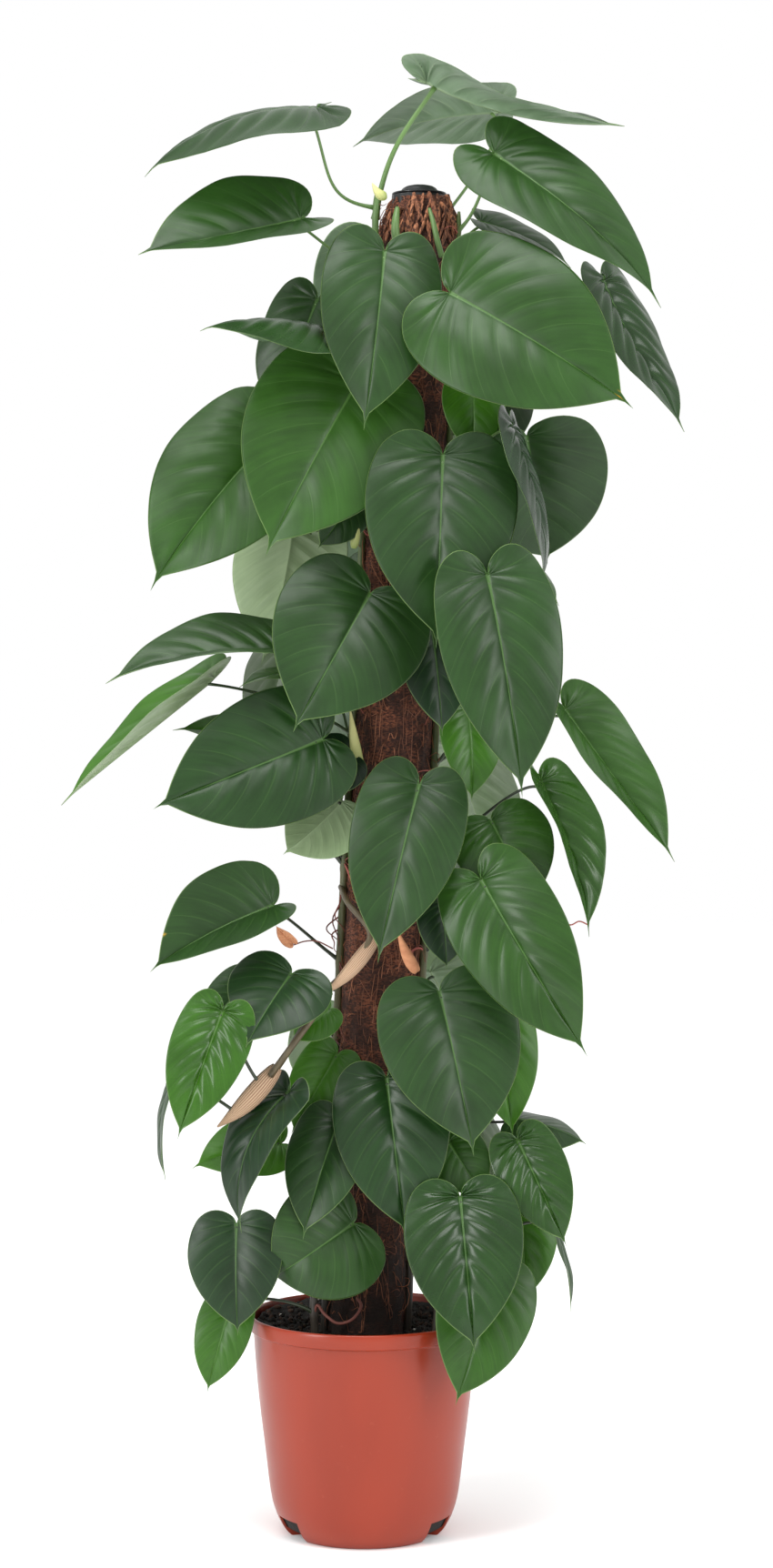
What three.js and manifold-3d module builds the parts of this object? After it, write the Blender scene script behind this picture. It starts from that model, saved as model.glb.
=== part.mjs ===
// A potted heartleaf philodendron on a coir pole. Millimetres, +Z up, the shown front faces -Y.
// The origin is the middle of the pot's resting face.
import * as THREE from "three";
import { mergeVertices } from "three/addons/utils/BufferGeometryUtils.js";
import Module from "manifold-3d";

const wasm = await Module();
wasm.setup();

// Pot: a tapered plastic nursery pot with a lip, three feet and three drain notches
const POT_HEIGHT = 238;
const LIP_RADIUS = 127;
const LIP_BAND = 15;
const LIP_ROUND = 2;
const WALL = 2.4;
const POT_SIDES = 32;
const FLOOR_TOP = 9;
const FLOOR_LIFT = 6;
const PAD_RADIUS = 30;
const FOOT_INNER = 66;
const FOOT_OUTER = 82;
const STEP = 3;
const NOTCH_ANGLE = 24;
const NOTCH_TOP = 23;
const NOTCH_INNER = 70;
const NOTCH_OUTER = 112;
const NOTCH_TURNS = [-30, 90, 210];
// The outside of the pot's wall from its round bottom edge to the step under the lip: radius, height
const SIDE = [[91, 9], [98, 24], [103.5, 46], [116, 146], [122, POT_HEIGHT - LIP_BAND - STEP]];

// Soil: fills the pot to a little under its lip
const SOIL_TOP = 218;
const SOIL_GAP = 0.4;
const SOIL_CROWN = 1;
const SOIL_EDGE = 5;
const SOIL_RADIUS = 119;
const SOIL_FLAT = 90;
const STEM_HOLE = 0.5;

// Pole: a plastic tube in a sleeve of coir, with a plastic cap; it leans a little to the right
const POLE_LEAN = 0.048;
const POLE_FOOT = 13;
const POLE_TOP = 1466;
const TUBE_RADIUS = 30;
const TUBE_WALL = 2.6;
const COIR_RADIUS = 44;
const COIR_LUMP = 1.6;
const COIR_SIDES = 16;
const COIR_RINGS = 18;
const CAP_RISE = 11;
const CAP_PLUG = 20;
const CAP_RIM = 2;
const FIT_GAP = 0.35;

// Stems and leaves
const STEM_RADIUS = 4.5;
const STEM_SIDES = 5;
const STEM_CLEAR = 0.7;
const STEM_DEPTH = 60;
const PETIOLE_RADIUS = 1.9;
const PETIOLE_SIDES = 3;
const PETIOLE_STEPS = 3;
const PETIOLE_SEAT = 0.05;
const PETIOLE_SINK = 0.8;
const PETIOLE_CLEAR = 1.2;
const PETIOLE_TAPER = 0.3;
const BLADE_THICKNESS = 1.0;
const BLADE_WAVE = 0.012;

// The front view that the shown leaves were measured in: from this far, at this height
const VIEW_DISTANCE = 3480;
const EYE_ACROSS = 24;
const EYE_UP = 925;

const UP = new THREE.Vector3(0, 0, 1);
const TO_VIEWER = new THREE.Vector3(0, -1, 0);

// Colours and finishes
const finish = (color, roughness) => new THREE.MeshStandardMaterial({ color, roughness, metalness: 0 });
const TERRACOTTA = finish(0xb85842, 0.45);
const POTTING_MIX = finish(0x1d1713, 0.95);
const BLACK_PLASTIC = finish(0x17191a, 0.4);
const COIR = finish(0x6b3a24, 0.95);
const LEAF_GREEN = finish(0x2f6b35, 0.4);

// Small helpers
const radians = THREE.MathUtils.degToRad;
const along = (point, direction, distance) => point.clone().addScaledVector(direction, distance);

function chance(index, draw) {
  const value = Math.sin(index * 12.9898 + draw * 78.233) * 43758.5453;
  return value - Math.floor(value);
}

function poleAxis(up) {
  return new THREE.Vector3(POLE_LEAN * (up - SOIL_TOP), 0, up);
}

// Azimuth 0 points to the viewer, 90 to the right
function outward(azimuth) {
  return new THREE.Vector3(Math.sin(radians(azimuth)), -Math.cos(radians(azimuth)), 0);
}

// A place seen from the front: millimetres across and up on the plane of the pole, moved out to its depth
function place(across, up, out) {
  const eye = new THREE.Vector3(EYE_ACROSS, -VIEW_DISTANCE, EYE_UP);
  const seen = new THREE.Vector3(across, 0, up);
  return eye.lerp(seen, (VIEW_DISTANCE - out) / VIEW_DISTANCE);
}

// Closed meshes to solids and back
function bodyOf(points, triangles) {
  const geometry = new THREE.BufferGeometry();
  geometry.setAttribute("position", new THREE.Float32BufferAttribute(points.flatMap((p) => p.toArray()), 3));
  geometry.setIndex(triangles.flat());
  return solidOf(geometry);
}

function solidOf(geometry) {
  const bare = geometry.index ? geometry.clone() : mergeVertices(geometry);
  bare.deleteAttribute("normal");
  bare.deleteAttribute("uv");
  const merged = mergeVertices(bare, 1e-4);
  const vertProperties = new Float32Array(merged.attributes.position.array);
  const triVerts = new Uint32Array(merged.index.array);
  const mesh = new wasm.Mesh({ numProp: 3, vertProperties, triVerts });
  return new wasm.Manifold(mesh);
}

function meshOf(solid, name, material) {
  const data = solid.getMesh();
  const geometry = new THREE.BufferGeometry();
  geometry.setAttribute("position", new THREE.BufferAttribute(new Float32Array(data.vertProperties), 3));
  geometry.setIndex(new THREE.BufferAttribute(new Uint32Array(data.triVerts), 1));
  geometry.computeVertexNormals();
  const mesh = new THREE.Mesh(geometry, material);
  mesh.name = name;
  return mesh;
}

function joined(solids) {
  return solids.reduce((whole, next) => whole.add(next));
}

// A profile of [radius, height] pairs, turned about the upright axis
function turned(profile, sides) {
  const lathe = new THREE.LatheGeometry(profile.map(([r, z]) => new THREE.Vector2(r, z)), sides);
  lathe.rotateX(Math.PI / 2);
  return closedTurn(lathe);
}

function closedTurn(lathe) {
  lathe.deleteAttribute("normal");
  lathe.deleteAttribute("uv");
  const merged = mergeVertices(lathe, 1e-4);
  const index = merged.index.array;
  const kept = [];
  for (let i = 0; i < index.length; i += 3) {
    const [a, b, c] = [index[i], index[i + 1], index[i + 2]];
    if (a !== b && b !== c && c !== a) kept.push(a, b, c);
  }
  merged.setIndex(kept);
  return solidOf(merged);
}

// A tube through points, with a radius at each, closed by a fan at both ends
function tube(path, radii, sides) {
  const points = [];
  const triangles = [];
  let side = new THREE.Vector3(1, 0.3, 0.2);
  path.forEach((centre, i) => {
    const before = path[Math.max(i - 1, 0)];
    const after = path[Math.min(i + 1, path.length - 1)];
    const direction = after.clone().sub(before).normalize();
    side = side.addScaledVector(direction, -side.dot(direction)).normalize();
    const other = direction.clone().cross(side);
    for (let k = 0; k < sides; k += 1) {
      const turn = (2 * Math.PI * k) / sides;
      const rim = along(centre, side, radii[i] * Math.cos(turn));
      points.push(rim.addScaledVector(other, radii[i] * Math.sin(turn)));
    }
  });
  const last = (path.length - 1) * sides;
  for (let i = 0; i < last; i += sides) {
    for (let k = 0; k < sides; k += 1) {
      const next = (k + 1) % sides;
      triangles.push([i + k, i + next, i + sides + next], [i + k, i + sides + next, i + sides + k]);
    }
  }
  for (let k = 1; k < sides - 1; k += 1) {
    triangles.push([0, k + 1, k], [last, last + k, last + k + 1]);
  }
  return bodyOf(points, triangles);
}

// Leaf blade. The outline gives one half from the notch round the lobe to the tip:
// part of the half width, and part of the length.
const OUTLINE = [
  [0, 0], [0.2, -0.12], [0.62, -0.125], [0.94, 0.06], [1, 0.33], [0.84, 0.6], [0.43, 0.84], [0, 1],
];
const LOBE_RAYS = 3;
const MIDDLE_ROW = 0.55;
const PLAIN_SHAPE = { fold: 0.35, droop: 0.3, bow: 0.06, twist: 0, out: 0.3, rise: 0.22, below: 0 };

function bladePoint(leaf, side, x, y, sink) {
  const { fold, droop, bow, twist } = leaf.shape;
  const half = leaf.width / 2;
  const wave = BLADE_WAVE * leaf.length * x * x * Math.sin(10 * y + 3 * side + leaf.phase);
  const arch = bow * leaf.length * 4 * Math.max(y, 0) * (1 - y);
  const height = half * (fold * x - droop * x * x) + arch + wave - sink;
  const turn = radians(leaf.turn + twist * y);
  const face = leaf.face.clone().multiplyScalar(Math.cos(turn)).addScaledVector(leaf.side, Math.sin(turn));
  const edge = leaf.side.clone().multiplyScalar(Math.cos(turn)).addScaledVector(leaf.face, -Math.sin(turn));
  const point = along(leaf.notch, leaf.axis, y * leaf.length);
  return point.addScaledVector(edge, side * x * half).addScaledVector(face, height);
}

// Where a side vein leaves the midrib, and its point part of the way to the margin
function veinStart(ray) {
  const part = Math.max(0, (ray - LOBE_RAYS) / (OUTLINE.length - 1 - LOBE_RAYS));
  return part ** 1.4;
}

function veinPoint(ray, part) {
  const [x, y] = OUTLINE[ray];
  const start = veinStart(ray);
  const bend = 2 * part * (1 - part);
  const across = bend * 0.6 * x + part * part * x;
  const length = (1 - part) ** 2 * start + bend * (start + 0.18 * (y - start)) + part * part * y;
  return [across, length];
}

function blade(leaf) {
  const rays = OUTLINE.length - 1;
  const places = new Map();
  const points = [];
  const faces = [];
  const at = (side, ray, row) => {
    const tip = ray === rays;
    const notch = ray === 0 || (row < 2 && ray <= LOBE_RAYS);
    const key = notch ? "notch" : tip ? "tip" : row === 0 ? `rib${ray}` : `${side},${ray},${row}`;
    if (!places.has(key)) {
      const [x, y] = notch ? [0, 0] : tip ? [0, 1] : veinPoint(ray, [0, MIDDLE_ROW, 1][row]);
      places.set(key, points.length / 2);
      points.push(bladePoint(leaf, side, x, y, 0), bladePoint(leaf, side, x, y, BLADE_THICKNESS));
    }
    return places.get(key);
  };
  const add = (a, b, c, side) => {
    if (a === b || b === c || c === a) return;
    const [p, q] = side > 0 ? [b, c] : [c, b];
    faces.push([2 * a, 2 * q, 2 * p], [2 * a + 1, 2 * p + 1, 2 * q + 1]);
  };
  for (const side of [1, -1]) {
    for (let ray = 0; ray < rays; ray += 1) {
      for (let row = 0; row < 2; row += 1) {
        const [near, far] = [at(side, ray, row), at(side, ray + 1, row + 1)];
        add(near, at(side, ray, row + 1), far, side);
        add(near, far, at(side, ray + 1, row), side);
      }
      const here = at(side, ray, 2);
      const next = at(side, ray + 1, 2);
      const [a, b] = side > 0 ? [here, next] : [next, here];
      faces.push([2 * a, 2 * b, 2 * b + 1], [2 * a, 2 * b + 1, 2 * a + 1]);
    }
  }
  return bodyOf(points, faces);
}

// Stems. A stem is a function from height to a point; the climbing ones keep to the pole's surface
function climber(azimuth, sway, pace, start) {
  const radius = COIR_RADIUS + STEM_RADIUS + STEM_CLEAR;
  return (up) => along(poleAxis(up), outward(azimuth + sway * Math.sin(up / pace + start)), radius);
}

function routed(points) {
  const path = points.map(([across, up, out]) => place(across, up, out));
  return (up) => {
    const below = path.findIndex((point) => point.z < up);
    const k = below < 0 ? path.length - 1 : Math.max(1, below);
    const [a, b] = [path[k - 1], path[k]];
    return a.clone().lerp(b, THREE.MathUtils.clamp((up - a.z) / (b.z - a.z), 0, 1));
  };
}

// The leaf stalk: a curve from the stem out and up, arriving under the blade from behind its notch,
// bent clear of the pole. Its two handles are parts of the straight way; a leaf's shape says how far
// the stalk first runs out and rises, and how far below the notch it arrives.
const ARRIVING = { under: 0.15, behind: 0.1 };
const ARCHED = { out: 0.5, rise: 0.05, below: 0.42 };
const ERECT = { out: 0.04, rise: 0.5, below: 0.2 };

function petiole(leaf, base) {
  const reach = base.distanceTo(leaf.notch);
  const { out, rise, below } = leaf.shape;
  const flat = base.clone().sub(poleAxis(base.z)).setZ(0).normalize();
  const first = along(along(base, flat, out * reach), UP, rise * reach);
  const turn = radians(leaf.turn);
  const face = leaf.face.clone().multiplyScalar(Math.cos(turn)).addScaledVector(leaf.side, Math.sin(turn));
  const behind = along(along(leaf.notch, face, -ARRIVING.under * reach), leaf.axis, -ARRIVING.behind * reach);
  const second = along(behind, UP, -below * reach);
  const end = bladePoint(leaf, 1, 0, PETIOLE_SEAT, PETIOLE_SINK * BLADE_THICKNESS);
  const curve = new THREE.CubicBezierCurve3(base, first, second, end);
  const path = curve.getPoints(PETIOLE_STEPS).map((point) => {
    const axis = poleAxis(point.z);
    const away = point.clone().sub(axis).setZ(0);
    const least = COIR_RADIUS + PETIOLE_RADIUS + PETIOLE_CLEAR;
    const inside = point.z < POLE_TOP + CAP_RISE && away.length() < least;
    return inside ? along(axis, away.normalize(), least) : point;
  });
  const radii = path.map((point, i) => PETIOLE_RADIUS * (1.05 - (PETIOLE_TAPER * i) / PETIOLE_STEPS));
  return tube(path, radii, PETIOLE_SIDES);
}

function makeLeaf(notch, tip, width, turn, facing, shape, phase) {
  const axis = tip.clone().sub(notch);
  const length = axis.length();
  axis.normalize();
  const face = facing.clone().addScaledVector(axis, -facing.dot(axis)).normalize();
  const side = face.clone().cross(axis);
  return { notch, length, axis, face, side, width, turn, phase, shape: { ...PLAIN_SHAPE, ...shape } };
}

// Leaves that the front shows. Each row: the notch (across, up, out), the tip (across, up, out),
// the blade's width, its turn about the midrib in degrees, the height where its stalk leaves the stem,
// and what differs from the plain shape.
const SHOWN = {
  vine_left: [
    [[-52, 1563, 40], [-232, 1499, 85], 148, -67, 1452, { fold: -0.2, droop: 0, bow: 0.1, ...ARCHED }],
    [[-70, 1440, 60], [-238, 1406, 125], 132, -48, 1370, { fold: 0.45, droop: 0.05, bow: 0 }],
    [[22, 1405, 85], [1, 1223, 125], 130, 8, 1330, {}],
    [
      [68, 1590, 30], [272, 1545, 70], 124, 95, 1440,
      { fold: 0.45, droop: 0.2, twist: -22, bow: -0.06, ...ERECT },
    ],
    [[-39, 1321, 80], [-172, 1322, 150], 110, -76, 1250, { fold: -0.2 }],
    [[-8, 1261, 62], [-103, 1084, 92], 188, -5, 1190, {}],
    [[6, 1029, 72], [-73, 888, 118], 168, 0, 955, {}],
    [[-86, 965, 56], [-273, 937, 88], 108, -65, 925, { fold: 0.5, droop: 0.1 }],
    [[-46, 868, 75], [-221, 798, 108], 146, -8, 730, { bow: 0 }],
    [[-11, 1136, 54], [-49, 1081, 64], 60, 20, 1095, {}],
    [[60, 819, 84], [17, 636, 125], 122, -6, 735, {}],
    [[-101, 685, 70], [-228, 620, 100], 106, -39, 625, { fold: 0.67, droop: 0.05 }],
    [[-80, 611, 85], [-128, 536, 140], 112, -20, 560, {}],
    [[24, 496, 72], [44, 331, 104], 125, 0, 425, {}],
    [[-38, 572, 54], [-78, 538, 60], 46, -5, 540, {}],
    [[-25, 800, 45], [-85, 745, 62], 100, 150, 730, {}],
    [[-15, 850, 54], [-72, 815, 62], 70, -20, 790, {}],
    [[-52, 1352, 16], [-94, 1212, 14], 104, -25, 1290, {}],
    [[-30, 522, 36], [-78, 440, 40], 70, -5, 470, {}],
  ],
  vine_right: [
    [[94, 1359, 118], [283, 1243, 152], 180, 8, 1290, {}],
    [[142, 1512, 70], [317, 1359, 125], 120, 22, 1425, { twist: 30 }],
    [[86, 1181, 104], [79, 983, 122], 162, 0, 1110, {}],
    [[135, 1049, 150], [172, 821, 172], 132, 10, 985, {}],
    [[178, 1202, 14], [200, 1069, -62], 165, 0, 1130, {}],
    [[160, 1212, 95], [197, 1048, 112], 112, 76, 1150, { fold: 0.2 }],
    [[119, 1261, 58], [119, 1181, 66], 70, 10, 1200, {}],
    [[192, 822, 60], [246, 664, 92], 74, 46, 735, { fold: 0.72, droop: 0.05 }],
    [[139, 779, 65], [183, 686, 90], 110, 10, 715, {}],
    [[128, 714, 112], [237, 533, 148], 122, -8, 635, {}],
    [[82, 591, 85], [118, 423, 122], 152, 8, 515, {}],
    [[114, 903, 44], [118, 806, 54], 70, 15, 840, {}],
    [[74, 990, 60], [85, 880, 70], 80, 10, 910, {}],
    [[85, 690, 58], [90, 620, 64], 60, 10, 640, {}],
  ],
  vine_back_left: [
    [[-96, 1208, -2], [-228, 1046, 35], 172, -20, 1120, {}],
    [[-165, 936, 20], [-324, 807, 45], 88, -78, 860, { fold: 0.55, droop: 0.05, bow: 0 }],
    [[-60, 845, -20], [-201, 880, 5], 96, -60, 790, {}],
    [[-56, 941, 6], [-133, 929, 34], 64, -75, 880, {}],
    [[-78, 1105, -46], [-110, 961, -22], 140, 155, 1030, {}],
    [[-126, 602, 20], [-178, 548, 30], 60, -20, 570, {}],
    [[-92, 424, 6], [-184, 400, 26], 84, -45, 370, {}],
  ],
  vine_back_right: [
    [[147, 1557, -88], [-4, 1526, -62], 116, -114, 1440, {}],
    [[151, 1079, 70], [211, 1021, 90], 70, 75, 1010, {}],
    [[262, 1372, -10], [346, 1218, 20], 112, 56, 1320, { bow: -0.02 }],
    [[128, 1437, -20], [222, 1392, -35], 80, 64, 1385, {}],
    [[220, 901, 10], [334, 746, 40], 92, 46, 820, { fold: 0.6, droop: 0.1, bow: 0 }],
    [[138, 585, 30], [162, 440, 50], 86, 10, 520, {}],
    [[166, 452, 20], [239, 427, 40], 74, 60, 420, { fold: -0.3, droop: 0.1 }],
  ],
  shoot_left: [
    [[-28, 450, 64], [-66, 328, 100], 88, -16, 380, {}],
    [[-141, 336, 65], [-140, 221, 85], 104, -8, 300, {}],
    [[-12, 336, 72], [-105, 272, 100], 130, -5, 290, {}],
    [[-146, 250, 45], [-172, 156, 52], 62, -10, 250, {}],
  ],
  shoot_right: [
    [[168, 428, 92], [219, 318, 112], 78, 5, 370, {}],
    [[168, 360, 28], [178, 255, 44], 80, 15, 320, {}],
    [[105, 366, 114], [120, 204, 156], 126, 0, 310, {}],
    [[143, 283, 84], [103, 146, 122], 106, 5, 280, {}],
    [[204, 340, 72], [227, 246, 86], 40, 80, 300, {}],
    [[92, 426, 70], [130, 366, 84], 66, 5, 330, {}],
  ],
  hanging_shoot: [
    [[-156, 570, 125], [-203, 438, 152], 84, -5, 500, {}],
    [[-213, 491, 90], [-221, 391, 100], 60, -80, 470, {}],
    [[-83, 481, 100], [-138, 338, 118], 84, -50, 475, { bow: 0.18 }],
  ],
};

// Leaves round the sides and back, which the front does not show: by rule, on the two stems there.
// A pair is the least value and how much chance adds to it. The more a leaf is behind the pole,
// the further it stands out and the more it leans; those on the left stem stand out further still,
// so that they clear the ones on the right stem. The bare places stay empty, because the front shows
// nothing there.
const BACK_LEAVES = 22;
const BACK_BARE = [12, 15, 20];
const BACK_TOP = 1450;
const BACK_BOTTOM = 320;
const BACK_FROM = 128;
const BACK_SWEEP = 104;
const BACK_START = 0.68;
const BACK_STEP = 0.41;
const BACK_LENGTH = [195, 20];
const BACK_SHRINK = 55;
const BACK_WIDTH = 0.76;
const BACK_NEAR = 64;
const BACK_REACH = [20, 46];
const BACK_APART = 40;
const BACK_STEEP = 8;
const BACK_LEAN = [20, 26];
const BACK_STRAY = [-18, 36];
const BACK_TURN = [-25, 50];
const BACK_FACING_UP = 0.2;
const BACK_STALK_DROP = 74;

function drawn([least, more], index, draw) {
  return least + more * chance(index, draw);
}

function backLeaf(index) {
  const part = (index + 0.5) / BACK_LEAVES;
  const up = BACK_TOP + (BACK_BOTTOM - BACK_TOP) * part;
  const azimuth = BACK_FROM + BACK_SWEEP * ((BACK_START + index * BACK_STEP) % 1);
  const behind = Math.cos(radians(azimuth - 180));
  const length = drawn(BACK_LENGTH, index, 1) - BACK_SHRINK * part;
  const lean = radians(BACK_STEEP + drawn(BACK_LEAN, index, 3) * behind);
  const reach = BACK_NEAR + drawn(BACK_REACH, index, 2) * behind + (azimuth > 180 ? BACK_APART : 0);
  const notch = along(poleAxis(up), outward(azimuth), reach);
  const tipWay = outward(azimuth + drawn(BACK_STRAY, index, 4)).multiplyScalar(Math.sin(lean));
  const tip = along(along(notch, tipWay, length), UP, -length * Math.cos(lean));
  const facing = along(outward(azimuth), UP, BACK_FACING_UP);
  const leaf = makeLeaf(notch, tip, BACK_WIDTH * length, drawn(BACK_TURN, index, 5), facing, {}, index);
  return { stem: azimuth < 180 ? "vine_back_right" : "vine_back_left", leaf, base: up - BACK_STALK_DROP };
}

// Where the stems run
const STEMS = {
  vine_left: { at: climber(-78, 8, 130, 0), from: 1475 },
  vine_right: { at: climber(78, 8, 150, 1), from: 1450 },
  vine_back_left: { at: climber(-146, 8, 140, 2), from: 1420 },
  vine_back_right: { at: climber(146, 8, 120, 3), from: 1465 },
  shoot_left: { at: routed([[-44, 410, 66], [-52, 330, 70], [-56, 250, 66], [-52, 150, 60]]), from: 408 },
  shoot_right: { at: routed([[70, 430, 62], [84, 350, 66], [82, 260, 60], [72, 150, 54]]), from: 428 },
};
const HANGING = [
  [-26, 706, 4], [-18, 688, 40], [6, 655, 54], [-10, 625, 66], [-51, 581, 85], [-71, 546, 95],
  [-101, 500, 105], [-140, 452, 113],
];
const STEM_STEP = 78;
const HANGING_RADIUS = 0.75 * STEM_RADIUS;

function stemPath(stem) {
  const low = SOIL_TOP - STEM_DEPTH;
  const steps = Math.ceil((stem.from - low) / STEM_STEP);
  return Array.from({ length: steps + 1 }, (_, i) => stem.at(low + ((stem.from - low) * i) / steps));
}

function stemTube(stem) {
  const path = stemPath(stem);
  const radii = path.map((_, i) => STEM_RADIUS * (1 - 0.3 * (i / path.length) ** 3));
  return tube(path, radii, STEM_SIDES);
}

// Papery sheaths: each a four-sided spindle from its foot to its point, with its greatest radius
const SHEATHS = [
  [[2, 640, 52], [-41, 592, 84], 7],
  [[-98, 505, 104], [-160, 444, 118], 8],
];
const SHEATH_SIDES = 4;
const SPINDLE = [[0, 0.6], [0.3, 1], [0.7, 0.8], [1, 0.15]];

function sheath([foot, point, radius]) {
  const [a, b] = [place(...foot), place(...point)];
  const path = SPINDLE.map(([part]) => a.clone().lerp(b, part));
  return tube(path, SPINDLE.map(([, part]) => part * radius), SHEATH_SIDES);
}

function leavesOf(name, stemAt) {
  return SHOWN[name].map(([notch, tip, width, turn, base, shape], i) => {
    const leaf = makeLeaf(place(...notch), place(...tip), width, turn, TO_VIEWER, shape, i);
    return { leaf, base: stemAt(base) };
  });
}

function leafy(name) {
  const stem = STEMS[name];
  const leaves = leavesOf(name, stem.at);
  for (let index = 0; index < BACK_LEAVES; index += 1) {
    if (BACK_BARE.includes(index)) continue;
    const made = backLeaf(index);
    if (made.stem === name) leaves.push({ leaf: made.leaf, base: stem.at(made.base) });
  }
  const solids = [stemTube(stem)];
  if (name === "vine_left") {
    const hanging = routed(HANGING);
    leaves.push(...leavesOf("hanging_shoot", hanging));
    const path = HANGING.map((point) => place(...point));
    solids.push(tube(path, path.map(() => HANGING_RADIUS), STEM_SIDES), ...SHEATHS.map(sheath));
  }
  for (const { leaf, base } of leaves) solids.push(blade(leaf).add(petiole(leaf, base)));
  return joined(solids);
}

// Pot, soil and pole
const INSIDE = [[SIDE[0][0] - WALL - STEP / 2, FLOOR_TOP], ...SIDE.slice(1).map(([r, z]) => [r - WALL, z])];

function pot() {
  const shell = turned([
    [0, 0], [PAD_RADIUS, 0], [PAD_RADIUS + FLOOR_LIFT, FLOOR_LIFT],
    [FOOT_INNER - FLOOR_LIFT, FLOOR_LIFT], [FOOT_INNER, 0], [FOOT_OUTER, 0],
    ...SIDE,
    [LIP_RADIUS - LIP_ROUND / 2, POT_HEIGHT - LIP_BAND], [LIP_RADIUS, POT_HEIGHT - LIP_ROUND],
    [LIP_RADIUS - LIP_ROUND, POT_HEIGHT], [LIP_RADIUS - 2 * WALL, POT_HEIGHT - LIP_ROUND],
    ...INSIDE.toReversed(),
    [0, FLOOR_TOP],
  ], POT_SIDES);
  const cut = new THREE.Shape();
  const half = radians(NOTCH_ANGLE / 2);
  cut.absarc(0, 0, NOTCH_OUTER, -half, half, false);
  cut.absarc(0, 0, NOTCH_INNER, half, -half, true);
  const depth = NOTCH_TOP + STEP;
  const wedge = new THREE.ExtrudeGeometry(cut, { depth, bevelEnabled: false, curveSegments: 3 });
  wedge.translate(0, 0, -STEP);
  const notches = NOTCH_TURNS.map((angle) => solidOf(wedge.clone().rotateZ(radians(angle))));
  return notches.reduce((whole, notch) => whole.subtract(notch), shell);
}

function leaned(solid) {
  return solid.translate(0, 0, -SOIL_TOP).rotate(0, (Math.atan(POLE_LEAN) * 180) / Math.PI, 0)
    .translate(0, 0, SOIL_TOP);
}

function coirSleeve() {
  const [low, high] = [POLE_FOOT + 1, POLE_TOP - 4];
  const rows = [[TUBE_RADIUS + FIT_GAP, high], [TUBE_RADIUS + FIT_GAP, low]];
  for (let i = 0; i <= COIR_RINGS; i += 1) rows.push([COIR_RADIUS, low + ((high - low) * i) / COIR_RINGS]);
  const profile = [...rows, rows[0]].map(([r, z]) => new THREE.Vector2(r, z));
  const lathe = new THREE.LatheGeometry(profile, COIR_SIDES);
  lathe.rotateX(Math.PI / 2);
  const corners = lathe.attributes.position;
  for (let i = 0; i < corners.count; i += 1) {
    const [x, y, z] = [corners.getX(i), corners.getY(i), corners.getZ(i)];
    const radius = Math.hypot(x, y);
    if (radius < COIR_RADIUS - 1) continue;
    const angle = Math.round((Math.atan2(y, x) / Math.PI) * 180 + 360) % 360;
    const dent = COIR_LUMP * chance(angle, Math.round(z));
    corners.setXY(i, (x * (radius - dent)) / radius, (y * (radius - dent)) / radius);
  }
  return leaned(closedTurn(lathe));
}

function poleTube() {
  const bore = TUBE_RADIUS - TUBE_WALL;
  return leaned(turned([
    [bore, POLE_FOOT], [TUBE_RADIUS, POLE_FOOT], [TUBE_RADIUS, POLE_TOP], [bore, POLE_TOP], [bore, POLE_FOOT],
  ], COIR_SIDES));
}

function poleCap() {
  const plug = TUBE_RADIUS - TUBE_WALL - FIT_GAP;
  const seat = POLE_TOP + FIT_GAP;
  return leaned(turned([
    [0, seat - CAP_PLUG], [plug, seat - CAP_PLUG], [plug, seat], [TUBE_RADIUS, seat],
    [TUBE_RADIUS, seat + CAP_RIM],
    [0.85 * TUBE_RADIUS, seat + 0.55 * CAP_RISE], [0.5 * TUBE_RADIUS, seat + 0.88 * CAP_RISE],
    [0, seat + CAP_RISE],
  ], COIR_SIDES));
}

function soil() {
  const side = INSIDE.slice(0, -1).map(([r, z]) => [r - SOIL_GAP, z]);
  const [foot] = side;
  foot[1] += SOIL_GAP;
  const body = turned([
    [0, foot[1]], ...side, [SOIL_RADIUS - SOIL_GAP, SOIL_TOP - SOIL_EDGE],
    [SOIL_FLAT, SOIL_TOP + SOIL_CROWN], [0, SOIL_TOP],
  ], POT_SIDES);
  const bore = COIR_RADIUS + FIT_GAP;
  const [low, high] = [-POLE_FOOT, SOIL_TOP + STEM_DEPTH];
  const poleHole = leaned(turned([[0, low], [bore, low], [bore, high], [0, high]], COIR_SIDES));
  const holes = Object.values(STEMS).map((stem) => {
    const path = stemPath(stem).slice(0, 3);
    const down = path[0].clone().sub(path[1]).normalize();
    const radii = Array(path.length + 1).fill(STEM_RADIUS + STEM_HOLE);
    return tube([along(path[0], down, 3 * STEM_HOLE), ...path], radii, STEM_SIDES);
  });
  return [poleHole, ...holes].reduce((whole, hole) => whole.subtract(hole), body);
}

const plant = new THREE.Group();
plant.name = "potted_heartleaf_philodendron";
plant.add(meshOf(pot(), "pot", TERRACOTTA));
plant.add(meshOf(soil(), "soil", POTTING_MIX));
plant.add(meshOf(poleTube(), "pole_tube", BLACK_PLASTIC));
plant.add(meshOf(coirSleeve(), "pole_coir", COIR));
plant.add(meshOf(poleCap(), "pole_cap", BLACK_PLASTIC));
for (const name of Object.keys(STEMS)) plant.add(meshOf(leafy(name), name, LEAF_GREEN));

export default plant;
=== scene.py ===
# %% [markdown]
# # A heartleaf philodendron on its coir pole
# The plant is a climber: four stems go up a pole that is wrapped in coconut fibre, and every leaf hangs on
# a stalk of its own. The solids of the model are loaded first, as a fixed frame. Each piece made below is a
# finer skin for one of those solids, so it repeats the few rules and the leaf places that the solids were
# built from.

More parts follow.
